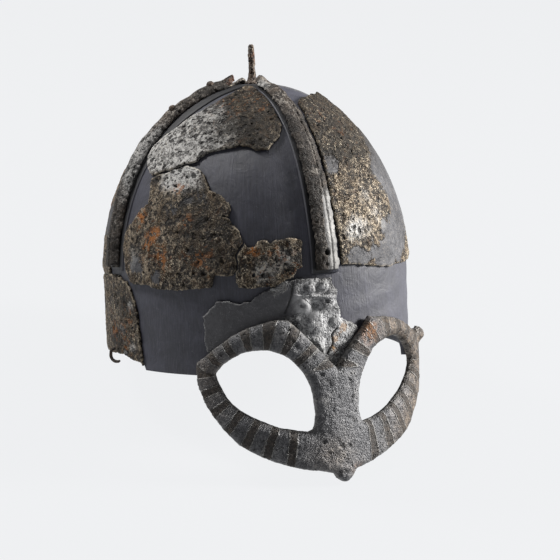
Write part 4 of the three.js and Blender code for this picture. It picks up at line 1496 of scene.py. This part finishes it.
# rivet heads set on points, each turned to its point's direction
def buildRivets():
    given = openTree("rivetHeads", ("Radius", "Height"))
    w = given["Geometry"]
    ball = w.node("GeometryNodeMeshIcoSphere", {}, {"Radius": 1.0, "Subdivisions": 4})
    place = w.node("GeometryNodeInputPosition")
    lumps = (w.noise(place, 2.4, 3.0, 0.6, 1.0) - 0.5) * 0.35
    swell = w.node("ShaderNodeVectorMath", {"operation": "SCALE"}, {0: place, "Scale": lumps})
    rough = w.node("GeometryNodeSetPosition", {}, {"Geometry": ball, "Offset": swell})
    shape = w.node("ShaderNodeCombineXYZ", {}, {0: given["Radius"], 1: given["Radius"], 2: given["Height"]})
    outward = w.node("GeometryNodeInputNamedAttribute", {"data_type": "FLOAT_VECTOR"}, {"Name": "outward"})
    turned = w.node("FunctionNodeAlignRotationToVector", {"axis": "Z"}, {"Vector": outward})
    heads = w.node("GeometryNodeInstanceOnPoints", {}, {
        "Points": given["Geometry"], "Instance": rough, "Rotation": turned, "Scale": shape,
    })
    return closeTree(given, heads)


def makeRivets():
    seats, outs = [], []
    for bandName, turn, drop in rivetSize["places"]:
        point, out, _ = domeFrame(np.array(float(turn)), np.array(drop))
        crest = bandSize["stripRise"] + rivetSize["above"] + bandSize["crest"] * bands[bandName]["lift"]
        seats.append(point + out * (crest - rivetSize["sunk"]))
        outs.append(np.array(toRest.to_3x3()) @ out)
    piece = makePiece("rivetHeads", seats, [], {"outward": np.array(outs)})
    applyTree(piece, buildRivets(), Radius=rivetSize["radius"], Height=rivetSize["height"],
              Iron=irons["fittingIron"])
    nodes = [f"rivet_{side}_{i}" for side in ("right", "back", "left") for i in (1, 2)]
    return finishPiece(piece, irons["fittingIron"], "fitting_iron", *nodes)


# an open ring of wire, from one angle round to another, twisted out of the surface
hookSize = {
    "radius": 0.0045,
    "wire": 0.0011,
    "turn": -91,
    "drop": 1.91,
    "twist": 41,
    "from": 100,
    "to": 300,
    "rings": 40,
    "sides": 14,
    "seat": 0.0021,  # above the surface: over the side fragment and a small gap
}


def makeHook():
    point, out, side = domeFrame(np.array(float(hookSize["turn"])), np.array(hookSize["drop"]))
    twist = math.radians(hookSize["twist"])
    along = side * math.cos(twist) - out * math.sin(twist)
    level = out * math.cos(twist) + side * math.sin(twist)
    count, sides = hookSize["rings"], hookSize["sides"]
    angles = np.radians(np.linspace(hookSize["from"], hookSize["to"], count))
    seat = hookSize["seat"] + hookSize["wire"]
    middle = point + out * (seat + hookSize["radius"] * math.cos(angles[0]) * math.sin(twist))
    up = np.array((0.0, 0, 1))
    path = middle + hookSize["radius"] * (np.cos(angles)[:, None] * along + np.sin(angles)[:, None] * up)
    ahead = np.gradient(path, axis=0)
    ahead /= np.linalg.norm(ahead, axis=1, keepdims=True)
    across = np.cross(ahead, level)
    thick = hookSize["wire"] * (0.7 + 0.3 * np.sin(np.linspace(0, np.pi, count)) ** 0.5)
    around = np.linspace(0, 2 * np.pi, sides, endpoint=False)
    rings = path[:, None] + thick[:, None, None] * (
        np.cos(around)[None, :, None] * level + np.sin(around)[None, :, None] * across[:, None])
    piece = makePiece("mailHook", rings.reshape(-1, 3), tubeFaces(count, sides), {
        "face": np.ones(count * sides), "rust": np.full(count * sides, 0.3),
    })
    return finishIron(piece, irons["fittingIron"], "hook", 8.0, "fitting_iron", "mail_hook")


makeSpike()
makeRivets()
makeHook()
print("spike, rivets and hook made")
